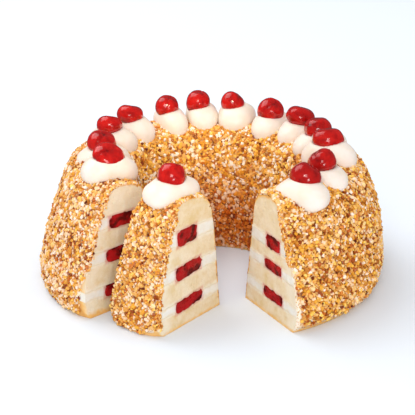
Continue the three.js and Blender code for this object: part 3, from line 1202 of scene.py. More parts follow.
    def build_cream(self, number: int, material: Material) -> None:
        """Makes one cream layer with a trough for its filling, open at the top.

        Args:
            number: 1 for the lowest cream.
            material: the cream's material.
        """
        floor = 2 * number - 1
        section = partial(self.layer_section, floor, floor + 1)
        walls, halfway = np.array([0.0, 1.0]), np.full(2, 0.5)
        ends = [section(walls, halfway, np.full(2, bearing))[0] for bearing in (self.arc.start, self.arc.end)]
        inner, outer = np.mean(ends, axis=0)
        strips = [cut.strips[number - 1] for cut in self.cuts]
        low = (max(strip.inner for strip in strips) + self.trough_overlap - inner) / (outer - inner)
        high = (min(strip.outer for strip in strips) - self.trough_overlap - inner) / (outer - inner)
        step = self.crumb_step / (outer - inner)
        runs = [np.linspace(a, b, int((b - a) / step) + 1)[:-1] for a, b in pairwise((0.0, low, high, 1.0))]
        across = np.concatenate([*runs, [1.0]])
        thick = self.cuts[1].levels[floor + 1] - self.cuts[1].levels[floor]
        film = self.film / thick
        up = np.concatenate([np.linspace(0, film, 3)[:-1], np.linspace(film, 1, 15)])
        middle_u, middle_v = (across[1:] + across[:-1]) / 2, (up[1:] + up[:-1]) / 2
        trough = ((middle_u > low) & (middle_u < high))[:, None] & (middle_v > film)
        swept = SweptBlock(self.arc, section, across, up, partial(self.cream_relief, number), ~trough)
        points, faces, grids = swept.build()
        depth = thick * np.minimum(grids["v"], 1 - grids["v"])
        tones = {"bleed": self.stain(points), "smear": 0.85 * self.smear(points, depth, self.cream_smear)}
        name = f"{self.arc.name}_cream_{number}"
        piece = new_piece(f"{name}_layer", points, faces, tones)
        dress(piece, material, "cream", name)

    def strip_section(self, number: int, u: Array, v: Array, bearing: Array) -> tuple[Array, Array]:
        """Section of a filling strip: a square with bowed sides, pushed in and out along its rim by a noise.

        Args:
            number: 1 for the lowest strip.
            u: from 0 at its inner side to 1 at its outer one.
            v: from 0 at its floor to 1 at its top.
            bearing: degrees.

        Returns:
            Radius and height of each place.
        """
        first, last = (cut.strips[number - 1] for cut in self.cuts)
        inner, outer, low, high, hang = first.blend(last, self.arc.share(bearing))
        a, b = 2 * u - 1, 2 * v - 1
        radius = (inner + outer) / 2 + (outer - inner) / 2 * a * np.sqrt(1 - 0.16 * b * b)
        height = (low + high) / 2 + (high - low) / 2 * b * np.sqrt(1 - 0.3 * a ** 6) - hang * a
        push = rough_noise(self.arc.place(radius, bearing, height), 3.4, 3, self.seed + 50 * number)
        return radius + 1.7 * push * np.abs(a) ** 3, height + 1.3 * push * np.abs(b) ** 3

    def streaks(self, number: int, radius: Array, height: Array, end: int | Array) -> Array:
        """Slanting ridges and grooves of the fruit at a cut, as noise from -1 to 1."""
        slant, rise = (radius + 0.35 * height) / self.streak_size, height / self.streak_size
        return rough_noise(on_cut(slant, rise, 9.0 * end), 1.0, 3, self.seed + 50 * number)

    def filling_relief(self, number: int, radius: Array, height: Array, end: int) -> Array:
        """Fruit at a cut: a little proud, streaked, and rounded off at its sides.

        Args:
            number: 1 for the lowest strip.
            radius: distances from the axis.
            height: heights.
            end: which cut.

        Returns:
            How far each point stands out of the cut.
        """
        strip = self.cuts[end].strips[number - 1]
        side = np.abs(radius - (strip.inner + strip.outer) / 2) * 2 / (strip.outer - strip.inner)
        return 0.4 + 0.45 * self.streaks(number, radius, height, end) - 0.25 * np.clip(side, 0, 1) ** 8

    def build_filling(self, number: int, material: Material) -> None:
        """Makes one filling strip: a rounded block of fruit that stands a little out of both cuts.

        Args:
            number: 1 for the lowest strip.
            material: the filling's material.
        """
        section, relief = partial(self.strip_section, number), partial(self.filling_relief, number)
        swept = SweptBlock(self.arc, section, np.linspace(0, 1, 57), np.linspace(0, 1, 25), relief)
        points, faces, grids = swept.build()
        at_end = (self.arc.share_of(points) > 0.5).astype(float)
        groove = self.streaks(number, self.arc.radius_of(points), points[:, 2], at_end)
        rim = smooth_step(0.75, 1.0, np.maximum(np.abs(2 * grids["u"] - 1), np.abs(2 * grids["v"] - 1)))
        # Painted shade: darker in the grooves of the streaks and along the strip's rim.
        tones = {
            "groove_shade": np.clip(smooth_step(0.12, -0.42, groove) * 0.9 + 0.12 * rim, 0, 1),
            "fruit": 0.5 + 0.5 * rough_noise(points, self.fruit_size, 2, self.seed + 50 * number + 7),
        }
        name = f"{self.arc.name}_filling_{number}"
        piece = new_piece(f"{name}_fruit", points, faces, tones)
        dress(piece, material, "filling", name)

    def build(self, sponge: Material, cream: Material, filling: Material) -> None:
        """Makes all layers from the lowest up.

        Args:
            sponge: the crumb's material.
            cream: the cream's material.
            filling: the filling's material.
        """
        for number in range(1, self.layers + 1):
            self.build_sponge(number, sponge)
        for number in range(1, self.layers):
            self.build_cream(number, cream)
            self.build_filling(number, filling)


# Coat

class BrittleKind(Enum):
    """Kinds of brittle chip: name, shares where the coat is pale, golden and in the hole, longest chip."""

    DARK = ("dark", 0.04, 0.045, 0.045, 3.4)
    CARAMEL = ("caramel", 0.125, 0.145, 0.105, 4.0)
    AMBER = ("amber", 0.185, 0.21, 0.155, 4.5)
    YELLOW = ("yellow", 0.085, 0.165, 0.265, 4.3)
    GOLD = ("gold", 0.24, 0.265, 0.225, 4.5)
    PALE = ("pale", 0.325, 0.17, 0.205, 4.2)

    @property
    def title(self) -> str:
        """The kind's name."""
        return self.value[0]

    @property
    def shares(self) -> Triple:
        """Its share of all chips on the pale side, on the golden side and in the hole."""
        return self.value[1:4]

    @property
    def longest(self) -> float:
        """Length of its longest chips."""
        return self.value[4]


BRITTLE_FINISHES = {
    BrittleKind.AMBER: BrittleFinish("brittle_amber", ("aa5e14", "e29632", "fcc45c")),
    BrittleKind.CARAMEL: BrittleFinish("brittle_caramel", ("903c0c", "ca6a1e", "e8923e")),
    BrittleKind.GOLD: BrittleFinish("brittle_gold", ("da9642", "f8c270", "ffe0a4"), (0.35, 0.5), 0.3,
                                    hole_foot_shading=0.75),
    BrittleKind.YELLOW: BrittleFinish("brittle_yellow", ("da8c1c", "fabb42", "ffdc74")),
    BrittleKind.PALE: BrittleFinish("brittle_pale", ("f0c898", "fad9b6", "fdecdc"), (0.45, 0.6), 0.1,
                                    hole_light=0.6, hole_foot_shading=0.62, hole_light_tint="fff8ea"),
    BrittleKind.DARK: BrittleFinish("brittle_dark", ("601c06", "8c380e", "ac551c"), hole_light=0.0),
}
GOLDEN_SIDE = (-0.55, 0.45)
HOLE_RADII = (82.0, 68.0)
# Painted shade: the radii and heights over which the coat darkens towards the hole's foot.
HOLE_FOOT_SHADE_RADII = (76.0, 62.0)
HOLE_FOOT_SHADE_HEIGHTS = (74.0, 22.0)
EVEN_STEPS = (0.7548776662, 0.5698402909)


def golden_share(places: Array) -> Array:
    """How golden the coat is, from 0 at the left to 1 at the right, by rows of x, y, z."""
    return smooth_step(*GOLDEN_SIDE, places[:, 0] / np.maximum(RING.radius_of(places), 1.0))


def hole_share(places: Array) -> Array:
    """Where the coat lines the hole, from 0 on the crown to 1 on the inner wall, by rows of x, y, z."""
    return smooth_step(*HOLE_RADII, RING.radius_of(places))


def hole_foot_shade_share(places: Array) -> Array:
    """How much painted shade browns the coat, from 0 to 1, towards the foot of the hole, by rows of x, y, z.
    """
    return smooth_step(*HOLE_FOOT_SHADE_RADII, RING.radius_of(places)) * smooth_step(*HOLE_FOOT_SHADE_HEIGHTS, places[:, 2])


def chip_forms(count: int, seed: int) -> tuple[Array, Array]:
    """Base forms of the chips: a cube's corners and the middles of its faces, jittered and chopped flat.

    The corners lie at 0.74 of the cube, the middles at its faces. All move by up to a fifth of the size and
    are then pressed back to two random planes.

    Args:
        count: how many forms.
        seed: for the jitter and the planes.

    Returns:
        Points of every form, and the 24 faces that they share.
    """
    draw = np.random.default_rng(seed)
    corners = np.array(list(np.ndindex(2, 2, 2))) * 2.0 - 1.0
    middles = np.concatenate([np.eye(3), -np.eye(3)])
    faces = []
    for middle in range(6):
        axis, side = middle % 3, int(middle < 3)
        ring = []
        for bits in ((side, 0, 0), (side, 1, 0), (side, 1, 1), (side, 0, 1)):
            ring.append(int(np.roll(bits, axis) @ (4, 2, 1)))
        ring = ring if side else ring[::-1]
        faces += [(ring[k], ring[(k + 1) % 4], 8 + middle) for k in range(4)]
    base = np.concatenate([0.74 * corners, middles])
    forms = base[None] + draw.uniform(-0.2, 0.2, (count, len(base), 3))
    for _ in range(2):
        plane = draw.normal(size=(count, 3))
        plane /= np.linalg.norm(plane, axis=1, keepdims=True)
        reach = np.einsum("cvk,ck->cv", forms, plane)
        over = np.clip(reach - draw.uniform(0.5, 0.85, (count, 1)), 0, None)
        forms = forms - over[..., None] * plane[:, None, :]
    return forms, np.array(faces)


@dataclass
class BrittleCoat:
    """Cream coat of one arc and the brittle chips pressed into it.

    The bare feet are listed as share and height. Each cut has a bare strip, listed as its width at the floor
    and the height where it runs out, and a heap of edge chips, listed as its depth low down and at the
    shoulder.
    """

    arc: Arc
    toppings: list["Topping"]
    golden: float
    chips: int
    edge_chips: int
    seed: int
    feet: tuple[Pair, ...]
    strips: tuple[Pair, Pair]
    heaps: tuple[Pair, Pair]
    bed: float = 1.1
    bed_points: int = 110
    bed_step: float = 1.35
    lump: float = 0.45
    lump_size: float = 6.0
    forms: int = 24
    shortest: float = 1.45
    patch: float = 9.0
    clump: float = 4.5
    clean_edge: float = 3.5
    clean_radius: float = 66.0
    heap_heights: Pair = (20.0, 78.0)
    heap_fade: Pair = (91.0, 82.0)
    spill: float = 2.8
    sink: float = 2.4
    line_points: int = 400
    sharp_angle: float = 35.0

    def bare_strip(self, share: Array, height: Array) -> Array:
        """How far into the bare strip beside the nearer cut a place lies: below 1 inside it, above 1 outside.

        Each strip narrows evenly with the height until it runs out.

        Args:
            share: how far on the way from the first cut to the last.
            height: heights.

        Returns:
            The distance from the cut over the strip's width there.
        """
        ratios = []
        for distance, (width, top) in zip((share, 1 - share), self.strips):
            wide = width * np.clip(1 - height / top, 0, None)
            ratios.append(distance * self.arc.run / np.maximum(wide, 0.01))
        return np.minimum(*ratios)

    def bare_foot(self, share: Array) -> Array:
        """Height up to which the outer foot carries no chips, by the `feet` listed from cut to cut."""
        return np.interp(share, *zip(*self.feet))

    def bed_section(self, inner: Array, outer: Array, u: Array, v: Array,
                    bearing: Array) -> tuple[Array, Array]:
        """Section of the coat: from an inner to an outer line, lumpy outside, sunk where it is bare.

        Args:
            inner: rows of radius and height of the inner line.
            outer: the same of the outer line.
            u: from 0 at the hole's foot to 1 at the outer foot.
            v: from 0 inside to 1 outside.
            bearing: degrees.

        Returns:
            Radius and height of each place.
        """
        places = np.linspace(0, 1, len(inner))
        low, high = (np.stack([np.interp(u, places, line[:, k]) for k in (0, 1)]) for line in (inner, outer))
        radius, height = between(low, high, v)
        noise = rough_noise(self.arc.place(radius, bearing, height), self.lump_size, 2, self.seed)
        out = self.lump * v * noise * (high - low) / np.maximum(np.linalg.norm(high - low, axis=0), 1e-6)
        share = self.arc.share(bearing)
        foot = self.bare_foot(share)
        bare_side = smooth_step(1.15, 0.85, self.bare_strip(share, height)) * (share > 0.5)
        bare_foot = smooth_step(foot + 1.0, foot - 1.5, height) * (share > 0.9)
        sunk = self.sink * np.maximum(bare_side, bare_foot)
        tuck = SECTION.foot_tuck(height, self.arc.foot_depth(bearing)) + sunk
        radius = radius - np.where(radius > SECTION.crown_radius, tuck, 0)
        return radius + out[0], height + out[1] * (height > SECTION.coat_foot + 0.5)

    def bed_relief(self, radius: Array, height: Array, end: int) -> Array:
        """Unevenness of the coat at a cut, as a height out of it."""
        return 0.35 * rough_noise(on_cut(radius, height, 5.0 * end), 2.5, 2, self.seed + end) - 0.15

    def build_bed(self, material: Material) -> None:
        """Makes the cream coat: the arch's shell with a lumpy outer face.

        Args:
            material: the coat's cream.
        """
        insets = (SECTION.coat, self.bed)
        inner, outer = (SECTION.arch(inset, SECTION.coat_foot, self.bed_points) for inset in insets)
        section = partial(self.bed_section, inner, outer)
        across, up = np.linspace(0, 1, self.bed_points)[::-1], np.linspace(0, 1, 4)
        steps = int(self.arc.sweep / self.bed_step)
        swept = SweptBlock(self.arc, section, across, up, self.bed_relief, steps=steps)
        points, faces, _ = swept.build()
        share = self.arc.share_of(points)
        syrup = np.maximum(0.45 + 0.55 * golden_share(points), hole_share(points))
        syrup *= smooth_step(0.9, 1.5, self.bare_strip(share, points[:, 2]))
        syrup *= 1 - 0.6 * smooth_step(1.0, -1.5, points[:, 2] - self.bare_foot(share))
        # The second tone is painted shade that darkens the cream towards the hole's foot.
        tones = {"syrup": syrup, "hole_foot_shade": hole_foot_shade_share(points)}
        piece = new_piece(f"{self.arc.name}_coat_cream", points, faces, tones)
        dress(piece, material, "brittle", f"{self.arc.name}_brittle_coat")

    def face_at(self, along: Array, line: Array) -> tuple[Array, Array, Array]:
        """Places and outward normals on a section's line.

        Args:
            along: how far along the line, counted in its points.
            line: rows of radius and height.

        Returns:
            Radius, height and the normals' rows of radius and height.
        """
        count = np.arange(len(line))
        step = np.diff(line, axis=0)[np.clip(along.astype(int), 0, len(line) - 2)]
        normal = np.stack([-step[:, 1], step[:, 0]], axis=-1)
        normal /= np.linalg.norm(normal, axis=1, keepdims=True)
        return np.interp(along, count, line[:, 0]), np.interp(along, count, line[:, 1]), normal

    def scatter(self, draw: np.random.Generator) -> tuple[Array, Array, Array]:
        """Spreads chips evenly over the coat's face by a two-way low-discrepancy sequence, slightly jittered.

        Args:
            draw: source of the jitter.

        Returns:
            Rows of radius, bearing and height, the face's normals in the section, and each chip's size.
        """
        line = SECTION.arch(0.0, 1.2, self.line_points)
        step = np.hypot(*np.diff(line, axis=0).T)
        area = np.concatenate([[0], np.cumsum(step * (line[1:, 0] + line[:-1, 0]) / 2)])
        index = np.arange(1, self.chips + 1)
        along = (index * EVEN_STEPS[0] + draw.uniform(-0.5, 0.5, self.chips) / self.chips) % 1
        radius, height, normal = self.face_at(np.interp(along * area[-1], area, np.arange(len(line))), line)
        margin = np.degrees(0.6 / radius) / self.arc.sweep
        share = margin + (index * EVEN_STEPS[1]) % 1 * (1 - 2 * margin)
        bearing = self.arc.bearing(share, radius, height)
        from_cut = np.minimum(share, 1 - share) * np.radians(self.arc.sweep) * radius
        clean = (radius < self.clean_radius) & (from_cut < self.clean_edge)
        outside = radius > SECTION.crown_radius
        bare = height < self.bare_foot(share) * draw.uniform(0.6, 1.2, self.chips)
        bare |= self.bare_strip(share, height) < draw.uniform(0.5, 1.3, self.chips)
        tuck = SECTION.foot_tuck(height, self.arc.foot_depth(bearing))
        radius = radius - np.where(outside, tuck, 0)
        kept = ~(clean | bare & outside)
        return np.stack([radius, bearing, height], axis=-1)[kept], normal[kept], np.ones(kept.sum())

    def cut_edges(self, draw: np.random.Generator) -> tuple[Array, Array, Array]:
        """Crumbs of brittle at both cuts: in the coat's thickness, heaped outside, spilled over the sponge.

        Args:
            draw: source of their places.

        Returns:
            The same as `scatter`, with small sizes.
        """
        count = self.edge_chips
        line = SECTION.arch(0.0, 2.5, self.line_points)
        radius, height, normal = self.face_at(draw.uniform(0, len(line) - 1, count), line)
        at_start = draw.uniform(size=count) < 0.35
        wall = smooth_step(*self.heap_fade, height)
        first, last = (np.interp(height, self.heap_heights, heap) for heap in self.heaps)
        heap = np.where(radius > SECTION.crown_radius, np.where(at_start, first, last), 0)
        spill = (SECTION.coat + heap) * wall * draw.uniform(0.05, 1.0, count)
        spill += (self.spill * wall + 0.8) * draw.beta(1.0, 2.6, count)
        radius, height = radius - spill * normal[:, 0], height - spill * normal[:, 1]
        inside = np.degrees(draw.uniform(-0.35, 0.45, count) / radius)
        cut = np.where(at_start, 0, 1)
        bearing = self.arc.bearing(cut, radius, height) + np.where(at_start, inside, -inside)
        size = draw.uniform(0.45, 0.9, count)
        covered = self.bare_strip(np.where(at_start, 0.001, 0.999), height) > 1
        kept = (radius > self.clean_radius + 4) & (height > self.bare_foot(cut)) & covered
        return np.stack([radius, bearing, height], axis=-1)[kept], normal[kept], size[kept]

    def choose_kinds(self, centre: Array, draw: np.random.Generator) -> Array:
        """Draws each chip's kind by how golden the coat is at its place, in small clumps of like kinds.

        Args:
            centre: the chips' places.
            draw: source of the choice.

        Returns:
            The number of each chip's kind.
        """
        pale, rich, lining = np.array([kind.shares for kind in BrittleKind]).T
        patches = 0.45 * rough_noise(centre, self.patch, 2, self.seed + 9)
        golden, hole = (golden_share(centre) + self.golden + patches)[:, None], hole_share(centre)[:, None]
        outside = pale + (rich - pale) * golden
        inside = lining + (lining - rich) * np.clip(-1.5 * patches, -0.6, 0.6)[:, None]
        reach = np.cumsum(between(outside, inside, hole), axis=1)
        luck = draw.uniform(size=len(centre)) + 0.5 * rough_noise(centre, self.clump, 2, self.seed + 13)
        rank = (luck.argsort().argsort() + 0.5) / len(luck)
        return np.minimum((rank[:, None] > reach).sum(axis=1), len(BrittleKind) - 1)

    def build_chips(self, materials: dict[BrittleKind, Material]) -> None:
        """Makes one piece of chips for each kind.

        A chip is a base form scaled to length, width and thickness, turned about the face's normal, tilted,
        and moved to its place; the normal at bearing b is (n_r sin b, -n_r cos b, n_z).

        Args:
            materials: a material for each kind.
        """
        draw = np.random.default_rng(self.seed)
        groups = [self.scatter(draw), self.cut_edges(draw)]
        spots, face_normal, scale = (np.concatenate([group[k] for group in groups]) for k in range(3))
        centre = self.arc.place(*spots.T)
        bare = ~np.any([topping.hides(centre) for topping in self.toppings], axis=0)
        spots, face_normal, scale, centre = spots[bare], face_normal[bare], scale[bare], centre[bare]
        total = len(spots)
        forms, faces = chip_forms(self.forms, self.seed)
        turn = np.radians(spots[:, 1])
        inner = (spots[:, 0] < SECTION.crown_radius) & (spots[:, 2] < SECTION.shoulder_height)
        out, up = face_normal.T
        normal = np.stack([out * np.sin(turn), -out * np.cos(turn), up], axis=-1)
        normal += draw.normal(size=(total, 3)) * np.where(inner, 0.22, 0.35)[:, None]
        normal /= np.linalg.norm(normal, axis=1, keepdims=True)
        side = draw.normal(size=(total, 3))
        side -= (side * normal).sum(axis=1, keepdims=True) * normal
        side /= np.linalg.norm(side, axis=1, keepdims=True)
        axes = np.stack([side, np.cross(normal, side), normal], axis=1)
        kinds = self.choose_kinds(centre, draw)
        longest = np.array([kind.longest for kind in BrittleKind])[kinds]
        length = scale * (self.shortest + (longest - self.shortest) * draw.beta(1.5, 2.0, total))
        width = length * draw.uniform(0.6, 0.95, total)
        thick = width * draw.uniform(0.6, 0.95, total)
        size = np.stack([length, width, thick], axis=-1) / 2
        lift = thick * draw.uniform(-0.25, 0.35, total) - np.where(inner, 0.6, 0.4)
        centre += normal * np.where(scale < 1, 0.0, lift)[:, None]
        centre[:, 2] = np.maximum(centre[:, 2], 0.55 * length)
        # Each chip's random tone, its painted shade towards the hole's foot, and where painted light warms
        # the hole.
        tones = {"shade": draw.uniform(size=total), "hole_foot_shade": hole_foot_shade_share(centre), "hole": hole_share(centre)}
        shape = forms[draw.integers(self.forms, size=total)]
        points = centre[:, None, :] + np.einsum("cvk,ckx->cvx", shape * size[:, None, :], axes)
        corners = points.shape[1]
        for number, kind in enumerate(BrittleKind):
            mine = np.flatnonzero(kinds == number)
            numbers = (np.arange(len(mine)) * corners)[:, None, None] + faces[None]
            my_tones = {title: np.repeat(values[mine], corners) for title, values in tones.items()}
            piece = new_piece(f"{self.arc.name}_brittle_{kind.title}", points[mine].reshape(-1, 3),
                              [numbers.reshape(-1, 3)], my_tones, self.sharp_angle)
            dress(piece, materials[kind], "brittle")


# Toppings

@dataclass(frozen=True)
class Topping:
    """One dollop of piped cream with its cherry."""

    dollop: str
    cherry: str
    arc: Arc
    bearing: float
    radius: float
    lift: float
    twist: float
    ripe: float
    seed: int
    cherry_size: Triple
    shift: Triple
    dollop_size: Triple
    squareness: float = 2.35
    droop: float = 1.5
    taper: float = 0.06
    fold: float = 0.9
    fold_size: float = 13.0
    press: float = 0.93
    lip: float = 0.7
    lip_out: float = 1.6
    lip_width: float = 2.2
    rim: Pair = (4.5, 3.4)
    dollop_height: float = 90.6
    cherry_height: float = 102.4

    @property
    def axes(self) -> Array:
        """Local +X and +Y as rows in the floor's plane, +X away from the ring's axis but for the twist."""
        turn = math.radians(self.bearing + self.twist)
        return np.array([[math.sin(turn), -math.cos(turn)], [math.cos(turn), math.sin(turn)]])

    @property
    def middle(self) -> Array:
        """Where the cherry's middle lies in the floor's plane."""
        turn = math.radians(self.bearing)
        return np.array(self.arc.axis) + self.radius * np.array([math.sin(turn), -math.cos(turn)])

    def stand(self, points: Array, height: float) -> Array:
        """Puts local rows of x, y, z on the ring, with the local origin at a height."""
        level = self.middle + points[:, :2] @ self.axes
        return np.concatenate([level, points[:, 2:] + height + self.lift], axis=1)

    def hides(self, points: Array) -> Array:
        """Finds what the dollop covers well inside its rim.

        Args:
            points: rows of x, y, z.

        Returns:
            True for each covered point.
        """
        local = (points[:, :2] - self.middle - self.shift[:2]) @ self.axes.T
        reach = local / (np.array(self.dollop_size[:2]) - self.rim)
        return ((reach ** 2).sum(axis=1) < 1) & (points[:, 2] > SECTION.shoulder_height)

    def build_dollop(self, material: Material) -> None:
        """Makes the piped cream.

        A sphere's points are pushed out to |x|^q + |y|^q + |z|^q = 1 and scaled; the width grows with x, the
        ends hang by x squared and the inner one by more, a slow noise gives it soft folds, and the cherry
        presses a dish with a lip into the top.

        Args:
            material: the piped cream.
        """
        unit, faces = ball_grid(72, 44)
        form = unit / (np.abs(unit) ** self.squareness).sum(axis=1, keepdims=True) ** (1 / self.squareness)
        stretch = np.random.default_rng(self.seed).uniform(0.96, 1.05, 3)
        local = form * np.array(self.dollop_size) * stretch
        local[:, 1] *= 1 + self.taper * form[:, 0]
        local[:, 2] -= self.droop * form[:, 0] ** 2 * (1 - 0.55 * form[:, 0])
        local += np.append(self.axes @ self.shift[:2], self.shift[2])
        folds = rough_noise(local + 100.0 * self.seed, self.fold_size, 2, self.seed)
        local += unit * (self.fold * folds)[:, None]
        reach = np.hypot(local[:, 0], local[:, 1])
        wide, tall = self.cherry_size[0] * self.press, self.cherry_size[2] * self.press
        bowl = np.sqrt(np.clip(1 - (reach / wide) ** 2, 0, None)) * tall
        dish = self.cherry_height - self.dollop_height - bowl
        pressed = (reach < wide) & (local[:, 2] > 0)
        local[:, 2] = np.where(pressed, np.minimum(local[:, 2], dish), local[:, 2])
        lip = self.lip * np.exp(-((reach - wide - self.lip_out) / self.lip_width) ** 2)
        local[:, 2] += lip * (local[:, 2] > 0)
        # Painted shade: how much deeper the cream is low down, where it meets the coat.
        low = smooth_step(2.0, -5.0, local[:, 2] + 0.3 * np.abs(local[:, 0])) * 0.8
        piece = new_piece(f"{self.dollop}_piped", self.stand(local, self.dollop_height), faces, {"low": low})
        dress(piece, material, "cream", self.dollop)

    def build_cherry(self, material: Material) -> None:
        """Makes the cherry.

        A sphere is scaled to three half sizes, dimpled by exp(-(angle/0.45)^2) round its stalk, creased along
        one side, and wrinkled by a slow and a fine noise; its stalk is tipped to one side.

        Args:
            material: the cherry's skin.
        """
        unit, faces = ball_grid(72, 46)
        draw = np.random.default_rng(self.seed + 900)
        from_stalk = np.arccos(np.clip(unit[:, 2], -1, 1))
        around = np.arctan2(unit[:, 1], unit[:, 0])
        dimple = 0.2 * np.exp(-(from_stalk / 0.45) ** 2)
        crease = 0.05 * np.exp(-(around / 0.22) ** 2) * np.sin(from_stalk) ** 0.5
        places = unit * 10 + 50.0 * self.seed
        slow, fine = rough_noise(places, 9.0, 2, self.seed), rough_noise(places, 3.2, 3, self.seed + 4)
        swell = 1 - dimple - crease + 0.05 * slow + 0.022 * fine
        local = unit * swell[:, None] * np.array(self.cherry_size) * draw.uniform(0.95, 1.05)
        tip, turn = draw.uniform(-0.7, 0.7), draw.uniform(0, 2 * math.pi)
        spin = np.array([[math.cos(turn), -math.sin(turn), 0], [math.sin(turn), math.cos(turn), 0],
                         [0, 0, 1]])
        lean = np.array([[1, 0, 0], [0, math.cos(tip), -math.sin(tip)], [0, math.sin(tip), math.cos(tip)]])
        local = local @ lean.T @ spin.T
        # Painted shade: darker in the dimple, the crease, the fine noise's hollows and at the foot in the
        # cream.
        foot = smooth_step(-0.1, -0.6, local[:, 2] / self.cherry_size[2])
        crease_shade = np.clip(smooth_step(0.1, -0.5, fine) * 0.4 + dimple * 3.0 + crease * 6 + 0.7 * foot, 0, 1)
        tones = {"crease_shade": crease_shade, "ripe": np.full(len(local), self.ripe)}
        piece = new_piece(f"{self.cherry}_fruit", self.stand(local, self.cherry_height), faces, tones)
        dress(piece, material, "cherry", self.cherry)


# Each row of the ring's toppings: bearing, radius, lift, twist, ripeness, the cherry's half sizes, and the
# dollop's shift to the right, back and up and its half sizes.
RING_PLACES = (
    (45.5, 89.5, -3.4, 18.0, 0.45, (10.9, 10.9, 10.6), (-2.6, -4.7, 0.5), (19.6, 12.9, 11.5)),
    (64.0, 85.2, -1.5, -8.0, 0.3, (10.8, 10.6, 9.8), (-0.6, -0.8, 0.0), (20.5, 12.9, 10.0)),
    (91.0, 83.0, 1.6, -26.0, 0.2, (12.4, 12.4, 9.4), (1.0, -3.7, 0.0), (21.2, 13.5, 12.0)),
    (111.0, 83.0, -0.5, 0.0, 0.2, (10.5, 10.4, 9.6), (1.6, 0.0, 0.0), (20.0, 12.4, 10.0)),
    (130.0, 86.5, 0.0, 0.0, 0.25, (10.5, 10.5, 8.2), (0.6, 0.0, 0.0), (20.5, 12.6, 10.0)),
    (148.5, 84.8, -1.0, 0.0, 0.15, (9.7, 9.8, 9.8), (0.8, 0.0, 0.0), (19.5, 13.6, 10.0)),
    (169.6, 87.0, 1.0, 0.0, 0.1, (9.2, 8.9, 8.8), (3.2, 0.0, 0.4), (19.0, 13.8, 10.2)),
    (187.0, 86.5, 1.5, 0.0, 0.1, (9.3, 9.0, 9.8), (3.2, 0.0, 0.4), (18.6, 11.6, 10.2)),
    (203.7, 85.0, 0.5, 0.0, 0.1, (9.0, 8.7, 9.2), (3.0, 0.0, 0.4), (18.4, 11.6, 10.2)),
    (225.8, 85.5, 0.5, 0.0, 0.15, (10.1, 10.2, 8.2), (2.2, 0.5, 0.0), (18.5, 12.2, 10.0)),
    (244.0, 84.0, 0.0, 0.0, 0.15, (9.8, 9.8, 8.0), (2.4, 0.0, 0.0), (19.5, 12.2, 10.0)),
    (267.0, 79.8, -2.3, 20.0, 0.1, (10.2, 10.2, 9.0), (1.4, 0.0, 0.0), (20.2, 12.5, 10.0)),
    (294.0, 79.5, 0.9, -9.0, 0.1, (11.8, 12.0, 7.6), (0.5, -1.1, 2.0), (19.2, 12.7, 10.2)),
)
SLICE_PLACE = (-50.6, 83.9, 0.2, 0.0, 0.2, (10.0, 10.0, 10.4), (0.0, 0.0, 1.3), (21.0, 12.9, 10.1))


def ring_toppings() -> list[Topping]:
    """The thirteen toppings of the ring, in order from the right cut."""
    return [Topping(f"dollop_{i:02d}", f"cherry_{i:02d}", RING, *place[:5], i, *place[5:])
            for i, place in enumerate(RING_PLACES, start=1)]


def slice_topping() -> Topping:
    """The slice's own topping, at the slice's middle."""
    return Topping("slice_dollop", "slice_cherry", SLICE, *SLICE_PLACE[:5], len(RING_PLACES) + 1,
                   *SLICE_PLACE[5:])


# Studio

class LampKind(Enum):
    """Kinds of studio light."""

    SQUARE = "AREA"
    SPOT = "SPOT"


@dataclass(frozen=True)
class Lamp:
    """A soft light at a place, facing a point; a spot's size is its radius, a square's its side."""

    name: str
    kind: LampKind
    place: Triple
    aim: Triple
    size: float
    watts: float
    tint: Triple = (1.0, 1.0, 1.0)
    cone: float = 7.0

    def facing(self) -> Matrix:
        """Works out the light's world matrix: -Z towards the aim, +X level.

        Returns:
            The matrix, in metres.
        """
        back = np.array(self.place) - np.array(self.aim)
        back = back / np.linalg.norm(back)
        right = np.cross([0.0, 0.0, 1.0], back)
        right /= np.linalg.norm(right)
        matrix = np.eye(4)
        matrix[:3, :3] = np.stack([right, np.cross(back, right), back], axis=-1)
        matrix[:3, 3] = np.array(self.place) * MM
        return Matrix(matrix.tolist())

    def build(self) -> None:
        """Adds the light to the scene."""
        light = bpy.data.lights.new(self.name, self.kind.value)
        light.energy, light.color = self.watts, self.tint
        if self.kind is LampKind.SPOT:
            light.shadow_soft_size = self.size * MM
            light.spot_size, light.spot_blend = math.radians(self.cone), 1.0
        else:
            light.shape, light.size = "SQUARE", self.size * MM
        lamp = bpy.data.objects.new(self.name, light)
        bpy.context.scene.collection.objects.link(lamp)
        lamp.matrix_world = self.facing()


LAMPS = (
    Lamp("key", LampKind.SQUARE, (-760.0, 520.0, 1250.0), (0.0, 0.0, 40.0), 1200.0, 11.0),
    Lamp("fill", LampKind.SQUARE, (-100.0, -1650.0, 900.0), (0.0, 0.0, 40.0), 600.0, 9.0),
    Lamp("spark", LampKind.SQUARE, (350.0, -1500.0, 110.0), (0.0, 0.0, 60.0), 320.0, 4.0),
    Lamp("hole_spot", LampKind.SPOT, (-120.0, -1100.0, 820.0), (-12.0, 58.0, 78.0), 60.0, 33.0,
         (1.0, 0.8, 0.5)),
)


